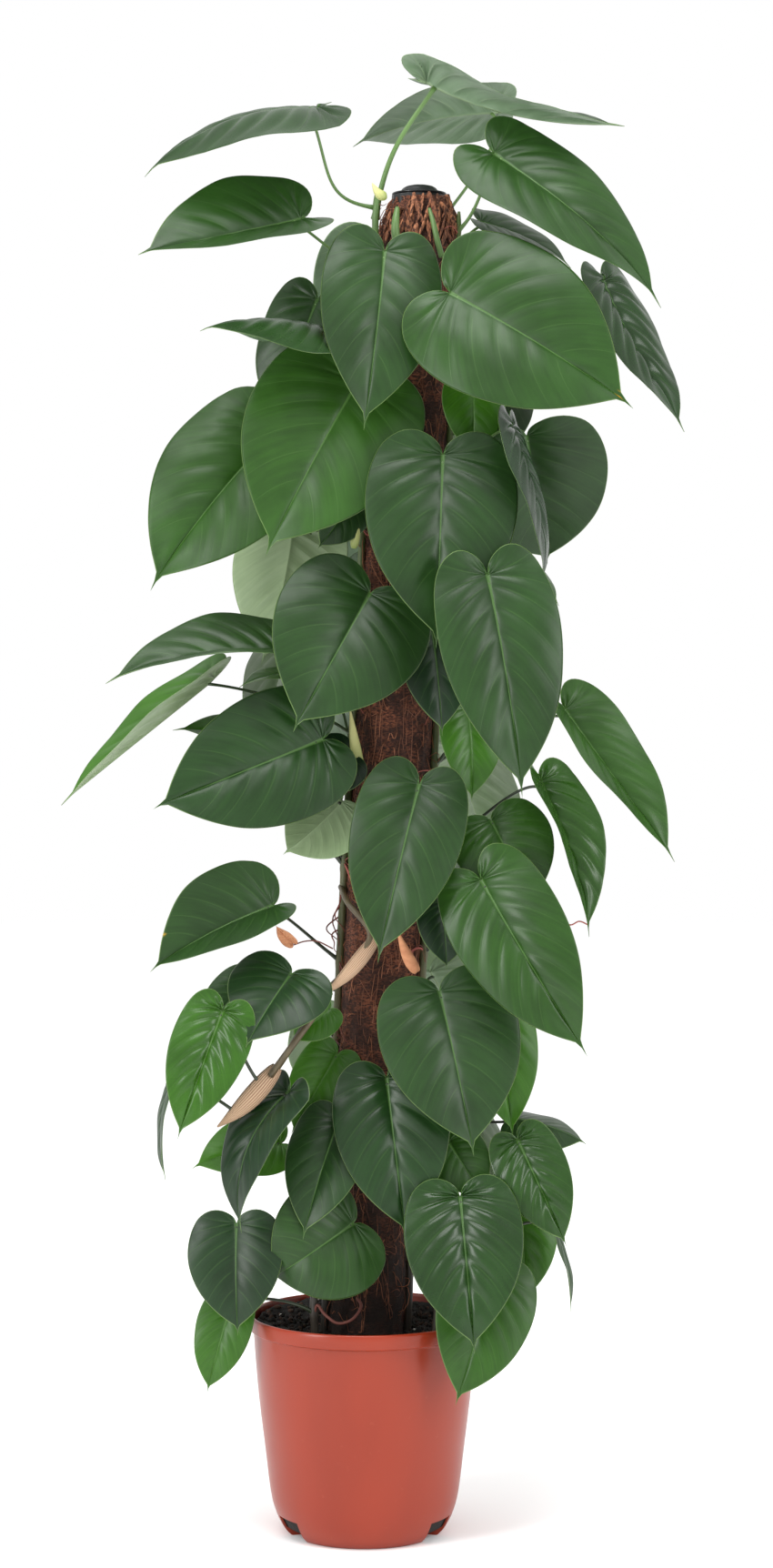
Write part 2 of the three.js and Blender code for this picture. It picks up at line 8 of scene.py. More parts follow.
import bmesh
import bpy
import numpy as np
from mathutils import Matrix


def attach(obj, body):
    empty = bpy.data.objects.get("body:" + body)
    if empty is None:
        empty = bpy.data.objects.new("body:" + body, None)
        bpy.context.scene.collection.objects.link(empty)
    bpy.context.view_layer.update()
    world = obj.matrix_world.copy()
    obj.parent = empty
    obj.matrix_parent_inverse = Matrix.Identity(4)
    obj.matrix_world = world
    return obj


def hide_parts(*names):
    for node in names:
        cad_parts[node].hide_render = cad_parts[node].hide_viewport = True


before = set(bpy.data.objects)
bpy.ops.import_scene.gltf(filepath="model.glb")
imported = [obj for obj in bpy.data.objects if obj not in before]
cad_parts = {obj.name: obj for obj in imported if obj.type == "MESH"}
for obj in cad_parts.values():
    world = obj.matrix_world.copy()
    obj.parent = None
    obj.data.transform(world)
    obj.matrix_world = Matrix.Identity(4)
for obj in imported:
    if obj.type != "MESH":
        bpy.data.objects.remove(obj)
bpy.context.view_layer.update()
print("solids:", ", ".join(sorted(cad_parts)))

# %% [markdown]
# ## Lengths and the pole
# All lengths below are in millimetres, as on a workshop drawing. They become metres once, when a mesh is
# made. The pole leans a little to the right, so nearly everything is placed from its axis.

# %% Sizes that the solids were built from
MM = 0.001
SOIL_TOP = 218.0
POLE_LEAN = 0.048
POLE_TOP = 1466.0
COIR_RADIUS = 44.0
EYE = np.array([24.0, -3480.0, 925.0])
UP = np.array([0.0, 0.0, 1.0])


def unit(vectors):
    """Each vector divided by its own length."""
    return vectors / np.linalg.norm(vectors, axis=-1, keepdims=True)


def chance(index, draw):
    """A number from 0 to 1 that is the same in every run: the fraction left of a large sine."""
    value = np.sin(index * 12.9898 + draw * 78.233) * 43758.5453
    return value - np.floor(value)


def circle(turn):
    """A level direction for each angle: its cosine to the right, its sine to the back, and nothing up."""
    return np.stack([np.cos(turn), np.sin(turn), 0 * turn], axis=-1)


def pole_axis(up):
    """The pole's middle at a height: it moves right by the lean for each millimetre above the soil."""
    up = np.asarray(up, float)
    return np.stack([POLE_LEAN * (up - SOIL_TOP), 0 * up, up], axis=-1)


def outward(azimuth):
    """A level direction: azimuth 0 points to the viewer and 90 to the right."""
    turn = np.radians(azimuth)
    return np.stack([np.sin(turn), -np.cos(turn), 0 * turn], axis=-1)


def place(across, up, out):
    """Start at the eye, aim at (across, 0, up), and stop where the point lies out nearer than the pole."""
    seen = np.array([across, 0.0, up])
    return EYE + (seen - EYE) * (-EYE[1] - out) / -EYE[1]


def places(spots):
    """The places of several spots, one row for each."""
    return np.array([place(*spot) for spot in spots])


print("the pole's top leans", round(float(pole_axis(POLE_TOP)[0]), 1), "mm to the right")

# %% [markdown]
# ## Camera, light and floor
# The photograph was taken level, from about three and a half metres, a little above the plant's middle. A
# small downward shift of the lens frames it, as a view camera does, and keeps the pole's edges upright. A
# white world fills the shadows, and three soft boxes give the long reflections on the pot and the sheen on
# the leaves. Sunlight would cut hard shadows, which a studio picture like this one doesn't have.

# %% Camera
PICTURE_HEIGHT = 1724
HORIZON_ROW = 756
SENSOR = 36.0

camera = bpy.data.cameras.new("camera")
camera.sensor_fit = "VERTICAL"
camera.sensor_height = SENSOR
camera.lens = SENSOR * -EYE[1] / PICTURE_HEIGHT
camera.shift_y = (HORIZON_ROW - PICTURE_HEIGHT / 2) / PICTURE_HEIGHT
viewpoint = bpy.data.objects.new("camera", camera)
viewpoint.location = EYE * MM
viewpoint.rotation_euler = (np.pi / 2, 0, 0)
bpy.context.scene.collection.objects.link(viewpoint)
bpy.context.scene.camera = viewpoint
print("lens", round(camera.lens, 1), "mm, shift", round(camera.shift_y, 4))

# %% Light
WORLD_SHADE = (1.0, 1.0, 1.0, 1.0)
WORLD_STRENGTH = 1.0
SOFT_BOXES = {
    "left_box": dict(at=(-2.3, -1.9, 1.5), size=(0.8, 2.4), watts=60),
    "right_box": dict(at=(2.3, -1.7, 1.5), size=(0.6, 2.4), watts=40),
    "top_box": dict(at=(-0.3, -1.0, 3.4), size=(1.8, 1.4), watts=56),
}
LIGHT_AIM = np.array([0.0, 0.0, 0.85])


def look_at(start, goal):
    """Euler angles that point a light's own -Z from start to goal: tilt from straight down, then heading."""
    way = goal - start
    tilt = np.arctan2(np.hypot(way[0], way[1]), -way[2])
    heading = np.arctan2(way[1], way[0]) - np.pi / 2
    return (tilt, 0, heading)


def soft_box(name, at, size, watts):
    """A rectangular light at a place, turned so that its face looks at the middle of the plant."""
    light = bpy.data.lights.new(name, "AREA")
    light.shape = "RECTANGLE"
    light.size, light.size_y = size
    light.energy = watts
    box = bpy.data.objects.new(name, light)
    box.location = at
    box.rotation_euler = look_at(np.array(at), LIGHT_AIM)
    bpy.context.scene.collection.objects.link(box)


for name, box in SOFT_BOXES.items():
    soft_box(name, **box)

world = bpy.data.worlds.new("pale studio")
world.use_nodes = True
world.node_tree.nodes["Background"].inputs["Color"].default_value = WORLD_SHADE
world.node_tree.nodes["Background"].inputs["Strength"].default_value = WORLD_STRENGTH
bpy.context.scene.world = world
bpy.context.scene.view_settings.view_transform = "Standard"
print("soft boxes:", len(SOFT_BOXES))

# %% [markdown]
# ## A kit for finishes
# Every finish is a small tree of shader nodes round one Principled surface. This helper adds a node in one
# line, so that a finish reads as a recipe. Patterns follow the object's own coordinates, or marks: numbers
# that a mesh keeps at each point, such as how far the point lies from a vein. Painted pictures could hold the
# patterns too, but these stay sharp from close by and need no unwrapping of the mesh.


# %% Finish recipes
def srgb(red, green, blue):
    """A colour from 0 to 255 as on a screen, made linear by the screen's curve."""
    value = np.array([red, green, blue]) / 255
    linear = np.where(value > 0.04045, ((value + 0.055) / 1.055) ** 2.4, value / 12.92)
    return (*linear, 1.0)


class Finish:
    """A material with one Principled surface, and short ways to add the nodes in front of it."""

    def __init__(self, name, **surface):
        self.material = bpy.data.materials.new(name)
        self.material.use_nodes = True
        self.tree = self.material.node_tree
        self.surface = self.tree.nodes["Principled BSDF"]
        self.set(**surface)

    def set(self, **sockets):
        """Feeds the surface's sockets, each named with _ for a space."""
        for name, value in sockets.items():
            self.feed(self.surface.inputs[name.replace("_", " ")], value)

    def feed(self, socket, value):
        """Links an output to the socket, or sets a plain value on it."""
        if isinstance(value, bpy.types.NodeSocket):
            self.tree.links.new(value, socket)
        else:
            socket.default_value = value

    def node(self, kind, inputs, output=0, **settings):
        """A new node with its inputs fed and its settings made. It stands for one of its outputs."""
        made = self.tree.nodes.new(kind)
        for name, value in settings.items():
            setattr(made, name, value)
        for name, value in inputs.items():
            self.feed(made.inputs[name], value)
        return made.outputs[output]

    def mark(self, name):
        """The mesh's own number at each point."""
        return self.node("ShaderNodeAttribute", {}, output="Fac", attribute_name=name)

    def spots(self, scale, detail=4.0, stretch=(1, 1, 1)):
        """Cloudy noise from 0 to 1, with scale spots to the metre."""
        where = self.node("ShaderNodeTexCoord", {}, output="Object")
        where = self.node("ShaderNodeMapping", {"Vector": where, "Scale": stretch})
        return self.node("ShaderNodeTexNoise", {"Vector": where, "Scale": scale, "Detail": detail})

    def low(self):
        """How much painted shade a point gets for its height: most by the soil, and nothing from half a metre
        up.
        """
        where = self.node("ShaderNodeTexCoord", {}, output="Object")
        height = self.node("ShaderNodeSeparateXYZ", {"Vector": where}, output="Z")
        return self.spread(height, 0.26, 0.5, 0.85, 0)

    def math(self, operation, first, second):
        """One operation of arithmetic on two numbers."""
        return self.node("ShaderNodeMath", {0: first, 1: second}, operation=operation)

    def spread(self, value, low, high, start=0.0, end=1.0):
        """Value's stretch from low to high, laid smoothly on the stretch from start to end."""
        inputs = {"Value": value, "From Min": low, "From Max": high, "To Min": start, "To Max": end}
        return self.node("ShaderNodeMapRange", inputs, interpolation_type="SMOOTHSTEP")

    def blend(self, amount, first, second, how="MIX"):
        """The first colour at amount 0 and the second at amount 1."""
        inputs = {0: amount, 6: first, 7: second}
        return self.node("ShaderNodeMix", inputs, output=2, data_type="RGBA", blend_type=how)

    def bump(self, height, depth, strength=1.0, under=None):
        """Raises the surface's shading by height times depth, in metres."""
        inputs = {"Height": height, "Distance": depth, "Strength": strength}
        if under is not None:
            inputs["Normal"] = under
        return self.node("ShaderNodeBump", inputs)


floor_finish = Finish("floor_paper", Base_Color=(1, 1, 1, 1), Roughness=1.0)
print("the recipe kit is ready")

# %% [markdown]
# ## A kit for skins
# Each surface is a grid of points: rows and columns that a formula fills as whole arrays. `Skin` collects
# such grids, joins neighbours with four-sided faces and welds what meets, so that a point or a seam where a
# grid closes on itself leaves no gap. The weld is far finer than any detail. Blender's own shapes and
# modifiers could make the plain parts, but a formula can place every lump and vein.

# %% Grids to meshes
WELD = 2e-6


class Skin:
    """Collects grids of points in millimetres, and makes one closed mesh of them in metres."""

    MARKS = ("tint", "vein", "rib", "edge", "along", "round", "spot", "gloss")

    def __init__(self):
        self.points = []
        self.quads = []
        self.looks = []
        self.marks = {name: [] for name in self.MARKS}
        self.count = 0

    def add(self, grid, look=0, ring=False, **marks):
        """Adds a grid of rows by columns by 3. A ring joins its last column to its first."""
        rows, columns = grid.shape[:2]
        number = self.count + np.arange(rows * columns).reshape(rows, columns)
        if ring:
            number = np.concatenate([number, number[:, :1]], axis=1)
        corners = [number[:-1, :-1], number[1:, :-1], number[1:, 1:], number[:-1, 1:]]
        quads = np.stack(corners, axis=-1).reshape(-1, 4)
        self.points.append(grid.reshape(-1, 3))
        self.quads.append(quads)
        look = np.broadcast_to(look, (rows - 1, columns - (not ring)))
        self.looks.append(look.reshape(-1))
        for name in self.MARKS:
            self.marks[name].append(np.broadcast_to(marks.get(name, 0.0), (rows, columns)).reshape(-1))
        self.count += rows * columns

    def piece(self, name, finishes):
        """The object: welded, faces outward, smooth, with the finishes in the order of the looks."""
        points = np.concatenate(self.points) * MM
        quads = np.concatenate(self.quads)
        mesh = bpy.data.meshes.new(name)
        mesh.vertices.add(len(points))
        mesh.vertices.foreach_set("co", points.ravel())
        mesh.loops.add(quads.size)
        mesh.loops.foreach_set("vertex_index", quads.ravel())
        mesh.polygons.add(len(quads))
        mesh.polygons.foreach_set("loop_start", np.arange(0, quads.size, 4))
        mesh.polygons.foreach_set("material_index", np.concatenate(self.looks).astype(np.int32))
        mesh.update(calc_edges=True)
        for mark, values in self.marks.items():
            kept = mesh.attributes.new(mark, "FLOAT", "POINT")
            kept.data.foreach_set("value", np.concatenate(values).astype(np.float32))
        shape = bmesh.new()
        shape.from_mesh(mesh)
        bmesh.ops.remove_doubles(shape, verts=shape.verts, dist=WELD)
        bmesh.ops.recalc_face_normals(shape, faces=shape.faces)
        open_edges = sum(not edge.is_manifold for edge in shape.edges)
        shape.to_mesh(mesh)
        shape.free()
        mesh.shade_smooth()
        for finish in finishes:
            mesh.materials.append(finish.material)
        made = bpy.data.objects.new(name, mesh)
        bpy.context.scene.collection.objects.link(made)
        print(f"{name}: {len(mesh.polygons)} faces, {open_edges} edges not closed")
        return made


def settle(piece, slot, *nodes):
    """The piece rides on the plant's one body and stands for the solids, which are hidden; the slot is not
    used.
    """
    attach(piece, "root")
    if nodes:
        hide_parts(*nodes)


def smooth_path(points, steps):
    """A curve through the points, in the given number of steps: between two points, a cubic whose slopes are
    half of what lies between their neighbours."""
    points = np.asarray(points, float)
    at = np.linspace(0, len(points) - 1, steps)
    ends = [2 * points[:1] - points[1:2], points, 2 * points[-1:] - points[-2:-1]]
    padded = np.concatenate(ends)
    first = np.clip(np.floor(at).astype(int), 0, len(points) - 2)
    part = (at - first)[:, None]
    before, start, end, after = (padded[first + step] for step in range(4))
    out = (end - before) / 2
    into = (after - start) / 2
    rise = end - start
    return start + part * (out + part * (3 * rise - 2 * out - into + part * (out + into - 2 * rise)))


def travelled(path):
    """The length of the path from its start to each of its points."""
    return np.concatenate([[0], np.cumsum(np.linalg.norm(np.diff(path, axis=0), axis=1))])


def along(path, steps):
    """The same line in the given number of steps, all of one length."""
    length = travelled(path)
    at = np.linspace(0, length[-1], steps)
    return np.stack([np.interp(at, length, path[:, axis]) for axis in range(3)], axis=1)


def capped(values):
    """One value for each ring of a tube, with the first and the last repeated for its closed ends."""
    return values[[0, *range(len(values)), -1], None]


def tube(skin, path, radius, sides, flat=1.0, **marks):
    """Rings round a path, square to its way: middle + radius * (cos * side + flat * sin * other). side is
    square to the way and to the direction in which the path spreads least. Each end closes to its middle."""
    radius = np.broadcast_to(radius, len(path))
    way = unit(np.gradient(path, axis=0))
    least = np.linalg.svd(path - path.mean(axis=0))[2][-1]
    side = unit(np.cross(least, way))
    other = np.cross(way, side)
    turn = np.linspace(0, 2 * np.pi, sides, endpoint=False)[:, None]
    rings = side[:, None] * np.cos(turn) + flat * other[:, None] * np.sin(turn)
    grid = path[:, None] + rings * radius[:, None, None]
    grid = np.concatenate([0 * grid[:1] + path[0], grid, 0 * grid[:1] + path[-1]])
    skin.add(grid, ring=True, along=capped(travelled(path)), round=turn[:, 0] / (2 * np.pi), **marks)


def noise(x, y, z=0.0, seed=0.0):
    """Chance values at whole-numbered corners, blended between them by 3 part squared less 2 part cubed."""
    spot = np.stack(np.broadcast_arrays(x, y, z), axis=-1).astype(float)
    base = np.floor(spot)
    part = spot - base
    part = part * part * (3 - 2 * part)
    total = 0.0
    for corner in np.ndindex(2, 2, 2):
        value = np.sin((base + corner) @ np.array([127.1, 311.7, 74.7]) + 17.3 * seed) * 43758.5453
        share = np.prod(np.where(corner, part, 1 - part), axis=-1)
        total = total + share * (value - np.floor(value))
    return total


print("the skin kit is ready")

# %% [markdown]
# ## The pot
# A moulded nursery pot: one wall of even thickness, turned from a profile. The profile is a smooth curve up
# the side, a small step, then the lip band with a rounded top. Three notches are cut through the foot,
# because water has to drain. A turned grid and three cutters are shorter to write than a wall with notches in
# its formula.

# %% Pot profile
POT_HEIGHT = 238.0
LIP_RADIUS = 127.0
WALL = 2.4
FLOOR_TOP = 9.0
FLOOR_RADIUS = 86.0
POT_SIDES = 192
SIDE_STEPS = 60
# Radius and height, from the foot ring's outer edge to the step under the lip
SIDE = [
    [82.6, 0.2], [85, 1.8], [91, 9], [98, 24], [103.5, 46], [109.8, 96], [116, 146], [120, 190], [122, 218.5],
]
# From the lip's widest radius and from the pot's height: the step, the band, the rounded top and the inside
LIP = [
    [-4.9, -18.4], [-4.6, -17.4], [-3.6, -16.7], [-1.7, -16.3], [-0.8, -15.6], [-0.5, -14.4], [-0.1, -8],
    [0, -3], [-0.4, -1.2], [-1.4, -0.2], [-2.4, 0], [-3.6, -0.4], [-4.4, -1.4], [-4.7, -3], [-5.2, -12],
]
# The centre pad, the raised floor between, and the foot ring, from the middle outward
FOOT = [
    [0, 0], [29, 0], [30, 0.4], [35.6, 5.6], [36.4, 6], [59.6, 6], [60.4, 5.6], [65.4, 0.6], [66.2, 0],
    [81.8, 0],
]


def turned(profile, sides, middle=lambda up: 0 * up[..., None] * UP):
    """Each [radius, height] of the profile goes round: middle + radius * (cos, sin), at its height."""
    profile = np.asarray(profile, float)
    turn = np.linspace(0, 2 * np.pi, sides, endpoint=False)
    grid = profile[:, None, :1] * circle(turn) + profile[:, None, 1:] * UP
    return grid + middle(grid[..., 2])


outside = smooth_path(SIDE, SIDE_STEPS)
inside = smooth_path(SIDE[2:], SIDE_STEPS // 2)[::-1] - [WALL, 0]
lip = np.array(LIP) + [LIP_RADIUS, POT_HEIGHT]
profile = np.concatenate([FOOT, outside, lip, inside, [[FLOOR_RADIUS, FLOOR_TOP], [0, FLOOR_TOP]]])
pot_skin = Skin()
pot_skin.add(turned(profile, POT_SIDES), ring=True)
print("pot profile:", len(profile), "points")

# %% Pot finish
pot_finish = Finish("terracotta_plastic", Coat_Weight=0.04)
pot_finish.surface.inputs["Specular IOR Level"].default_value = 0.4
pot_finish.surface.inputs["Coat Roughness"].default_value = 0.25
cloud = pot_finish.spots(9, stretch=(1, 1, 0.35))
clay = pot_finish.blend(pot_finish.spread(cloud, 0.3, 0.7), srgb(128, 38, 12), srgb(138, 43, 16))
dust = pot_finish.spread(pot_finish.spots(160, detail=6), 0.62, 0.85, 0, 0.22)
pot_finish.set(Base_Color=pot_finish.blend(dust, clay, srgb(160, 84, 64)))
scuff = pot_finish.spread(pot_finish.spots(12, detail=3), 0.25, 0.75, 0.28, 0.36)
ripple = pot_finish.bump(pot_finish.spots(22, detail=2), 0.0012, 0.12)
grit = pot_finish.spots(1500, detail=2)
pot_finish.set(Roughness=scuff, Normal=pot_finish.bump(grit, 0.00006, 0.5, ripple))
pot = pot_skin.piece("pot_wall", [pot_finish])

# %% Drain notches
NOTCH_TURNS = [-30, 90, 210]
NOTCH_ANGLE = 24.0
NOTCH_TOP = 23.0
NOTCH_BOTTOM = -5.0
NOTCH_INNER = 70.0
NOTCH_OUTER = 115.0
NOTCH_STEPS = 13
POT_EDGE_ANGLE = 35.0


def drain_cutter(angle):
    """A ring sector that reaches from inside the foot to outside the wall, and from below up to the notch."""
    half = np.radians(NOTCH_ANGLE / 2)
    turn = np.radians(angle) + np.linspace(-half, half, NOTCH_STEPS)
    radii = [NOTCH_INNER, NOTCH_OUTER, NOTCH_OUTER, NOTCH_INNER, NOTCH_INNER]
    heights = [NOTCH_BOTTOM, NOTCH_BOTTOM, NOTCH_TOP, NOTCH_TOP, NOTCH_BOTTOM]
    corners = np.stack([radii, heights], axis=-1)
    walls = corners[:, None, :1] * circle(turn) + corners[:, None, 1:] * UP
    middle = walls[:4].mean(axis=0, keepdims=True)
    shape = Skin()
    shape.add(walls.transpose(1, 0, 2))
    for end in (0, -1):
        cap = walls[:, end:][:, :1]
        shape.add(np.concatenate([cap, 0 * cap + middle[:, end:][:, :1]], axis=1).transpose(1, 0, 2))
    return shape.piece("drain_cutter", [])


for angle in NOTCH_TURNS:
    cutter = drain_cutter(angle)
    cut = pot.modifiers.new("drain notch", "BOOLEAN")
    cut.operation = "DIFFERENCE"
    cut.object = cutter
    bpy.context.view_layer.objects.active = pot
    bpy.ops.object.modifier_apply(modifier=cut.name)
    bpy.data.objects.remove(cutter)
pot.data.set_sharp_from_angle(angle=np.radians(POT_EDGE_ANGLE))
settle(pot, "pot_plastic", "pot")
print("pot faces after the notches:", len(pot.data.polygons))

# %% [markdown]
# ## The soil
# Peat mix is nearly black, lumpy and full of bits. Its top is a ring-shaped grid between the pot and the
# pole, raised and lowered by noise and heaped a little at the back. Below the top it is a plain plug. Bark
# chips and white perlite grains are loose bits pressed into it: each is a small ball, flattened and dented by
# chance. A particle system could scatter them, but a loop seats each one where the soil's own formula says.

# %% Soil body
SOIL_SIDES = 240
SOIL_ROWS = 46
SOIL_RADIUS = 118.4
SOIL_GAP = 0.4
BORE_GAP = 0.2
BORE_HEIGHTS = [180, 100, 40, 9.4]
LUMP = 4.0
HEAP = 15.0
COLLAR = 2.0
SOIL_PLUG = [[88, 9.4], [95.2, 24], [100.7, 46], [113.2, 146], [117.6, 200]]


def soil_top(turn, part):
    """A ring at part of the way from the pole's hole to the pot's wall. Its height is three sizes of noise,
    a heap that grows by part squared, most at the back, and a low collar against the pole."""
    near = pole_axis(SOIL_TOP) + (COIR_RADIUS + BORE_GAP) * circle(turn)
    far = (SOIL_RADIUS - SOIL_GAP) * circle(turn) + SOIL_TOP * UP
    point = near + (far - near) * part[..., None]
    x, y = point[..., 0], point[..., 1]
    lump = noise(x / 16, y / 16) + 0.5 * noise(x / 7, y / 7, seed=1) + 0.35 * noise(x / 2.6, y / 2.6, seed=2)
    slope = HEAP * part**2 * (0.55 + 0.45 * np.sin(turn - 0.5)) + COLLAR * np.exp(-part * 8)
    return point + ((lump - 0.9) * LUMP + slope)[..., None] * UP


turn = np.linspace(0, 2 * np.pi, SOIL_SIDES, endpoint=False)
top = soil_top(*np.meshgrid(turn, np.linspace(1, 0, SOIL_ROWS)))
plug = np.stack([(radius - SOIL_GAP) * circle(turn) + up * UP for radius, up in SOIL_PLUG])
bore = np.stack([pole_axis(up) + (COIR_RADIUS + BORE_GAP) * circle(turn) for up in BORE_HEIGHTS])
soil_skin = Skin()
soil_skin.add(np.concatenate([plug, top, bore, plug[:1]]), ring=True)
print("soil top:", SOIL_SIDES, "by", SOIL_ROWS, "points")

# %% Bits of bark and perlite
BARK_BITS = 900
PERLITE_BITS = 26
FLATLY = 2.2


def bits(skin, count, size, flatness, seed, look):
    """Balls of 6 by 8 points, sine of the lift times the circle and cosine of the lift up. Each is turned at
    random, though it tends to lie flat, is stretched, dented by noise and sunk by a third of its height."""
    draw = np.random.default_rng(seed)
    lift = np.linspace(0, np.pi, 6)[:, None]
    turn = np.linspace(0, 2 * np.pi, 8, endpoint=False)[None, :]
    ball = np.sin(lift)[..., None] * circle(turn) + np.cos(lift)[..., None] * UP
    for index in range(count):
        angle, part = draw.uniform(0, 2 * np.pi), draw.uniform(0.03, 0.97)
        seat = soil_top(np.array([[angle]]), np.array([[part]]))[0, 0]
        scale = size * draw.uniform(0.5, 1.6) * np.array([1, draw.uniform(0.4, 0.9), flatness])
        tumble = np.linalg.qr(draw.normal(size=(3, 3)) + FLATLY * np.diag(UP))[0]
        dent = 1 + 0.5 * (noise(*(ball * 1.7 + index).transpose(2, 0, 1)) - 0.5)
        grid = seat + (ball * dent[..., None] * scale) @ tumble.T + 0.3 * scale[2] * UP
        skin.add(grid, look=look, ring=True, tint=draw.uniform(0, 1))


bits(soil_skin, BARK_BITS, 3.2, 0.5, seed=3, look=0)
bits(soil_skin, PERLITE_BITS, 1.9, 0.8, seed=8, look=1)
print("bits:", BARK_BITS, "of bark and", PERLITE_BITS, "of perlite")

# %% Soil finishes
soil_finish = Finish("potting_mix", Roughness=0.95)
crumb = soil_finish.spread(soil_finish.spots(420, detail=8), 0.35, 0.7)
peat = soil_finish.blend(crumb, srgb(8, 7, 6), srgb(32, 24, 19))
bark = soil_finish.blend(soil_finish.mark("tint"), peat, srgb(70, 46, 32))
chips = soil_finish.spread(soil_finish.mark("tint"), 0.35, 1.0, 0, 0.8)
soil_finish.set(Base_Color=soil_finish.blend(chips, peat, bark))
soil_finish.set(Normal=soil_finish.bump(soil_finish.spots(700, detail=8), 0.0012, 0.9))

perlite_finish = Finish("perlite", Roughness=0.9)
grain = perlite_finish.spots(900, detail=5)
perlite_finish.set(Base_Color=perlite_finish.blend(grain, srgb(196, 190, 180), srgb(236, 233, 226)))
perlite_finish.set(Normal=perlite_finish.bump(grain, 0.0006, 0.8))

soil = soil_skin.piece("soil_body", [soil_finish, perlite_finish])
settle(soil, "potting_mix", "soil")

# %% [markdown]
# ## The pole
# Coconut fibre is felted round a plastic tube, so the sleeve is lumpy and its fibres stand out of it. The
# sleeve itself is a tall grid round the leaning axis, dented by stretched noise. Loose fibres are thin
# three-sided tubes that leave the surface and come back, over two thousand of them, all from one short
# formula. At the top the felt is worn and torn, so flat flakes of it lean against the tube there. They could
# be dents in the sleeve, but only separate strips show an edge and a shadow of their own.

# %% Coir sleeve
COIR_SIDES = 112
COIR_RINGS = 360
POLE_FOOT = 14.0
COIR_TOP = 1462.0
TUBE_RADIUS = 30.0
CORE_GAP = 0.35
LEAST_FELT = 0.4
FRAY_FROM = 1405.0
BARE_TURN = np.radians(205)


def coir_radius(turn, up):
    """The sleeve's radius: lumps a few centimetres long, ropes of fibre across, and fine grain. Near the top
    the felt is worn down by 7 to 12 millimetres, and at the left by 6 more, which bares the tube."""
    lump = noise(3 * np.cos(turn), 3 * np.sin(turn), up / 34, seed=4)
    rope = noise(9 * np.cos(turn) + up / 60, 9 * np.sin(turn), up / 9, seed=5)
    grain = noise(26 * np.cos(turn), 26 * np.sin(turn) + up / 25, up / 3.5, seed=6)
    worn = np.clip((up - FRAY_FROM) / (COIR_TOP - FRAY_FROM), 0, 1) ** 1.6
    ragged = noise(4 * np.cos(turn), 4 * np.sin(turn), seed=7)
    lumps = 2.6 * (lump - 0.62) + 2.0 * (rope - 0.5) + 1.3 * (grain - 0.5)
    bare = np.clip(np.cos(turn - BARE_TURN), 0, 1) ** 2
    return COIR_RADIUS - 0.4 + lumps - worn * (7 + 5 * ragged + 6 * bare)


turn = np.linspace(0, 2 * np.pi, COIR_SIDES, endpoint=False)
turn, up = np.meshgrid(turn, np.linspace(POLE_FOOT, COIR_TOP, COIR_RINGS))
felt = pole_axis(up) + coir_radius(turn, up)[..., None] * circle(turn)
core_radius = np.minimum(TUBE_RADIUS + CORE_GAP, coir_radius(turn, up) - LEAST_FELT)[..., None]
core = [pole_axis(up[row]) + core_radius[row] * circle(turn[row]) for row in (-1, 0)]
coir_skin = Skin()
coir_skin.add(np.concatenate([felt, core, felt[:1]]), ring=True)
print("sleeve grid:", COIR_RINGS, "rings of", COIR_SIDES)

# %% Loose fibres
FIBRES = 2200
FIBRE_STEPS = 6
FIBRE_STARTS = (235, 1455)
FIBRE_ENDS = (225, 1461)
LOOSE_SHARE = 0.07
HIGHEST_BOW = 11


def fibre_paths(count, seed):
    """A fibre starts on the sleeve, runs round and along it while it bows outward by a sine, and ends on it
    again. A few are loose: they stand off more and more towards their ends."""
    draw = np.random.default_rng(seed)
    part = np.linspace(0, 1, FIBRE_STEPS)
    start_turn = draw.uniform(0, 2 * np.pi, (count, 1))
    start_up = draw.uniform(*FIBRE_STARTS, (count, 1))
    run = draw.normal(0, 0.22, (count, 1))
    climb = draw.normal(0, 26, (count, 1))
    curl = draw.normal(0, 5, (count, 1))
    turn = start_turn + run * part
    up = np.clip(start_up + climb * part + curl * np.sin(np.pi * 2 * part), *FIBRE_ENDS)
    bow = draw.gamma(1.6, 1.5, (count, 1)) * np.sin(np.pi * part) ** 0.8
    loose = draw.uniform(0, 1, (count, 1)) > 1 - LOOSE_SHARE
    bow = np.where(loose, bow + 7 * part**1.5, bow)
    radius = coir_radius(turn, up) - 0.3 + np.clip(bow, 0, HIGHEST_BOW)
    return pole_axis(up) + radius[..., None] * circle(turn), draw.uniform(0, 1, count)


for path, tint in zip(*fibre_paths(FIBRES, seed=12)):
    tube(coir_skin, path, 0.32 + 0.14 * tint, 3, look=1, tint=tint)
print("fibres:", FIBRES)

# %% Flakes of felt at the worn top
FLAKES = 90
FLAKE_ARC = np.radians([-150, 120])
FLAKE_FEET = (1400, 1436)
FLAKE_RISES = (20, 44)
FLAKE_TOP = 1464.0
FLAKE_RADIUS = 46.5
FLAKE_TAPER = 13.5
FLAKE_THICKNESS = 0.8
FLAKE_STEPS = 14
BARE_BEFORE = np.radians(-122)
BARE_DROP = 18


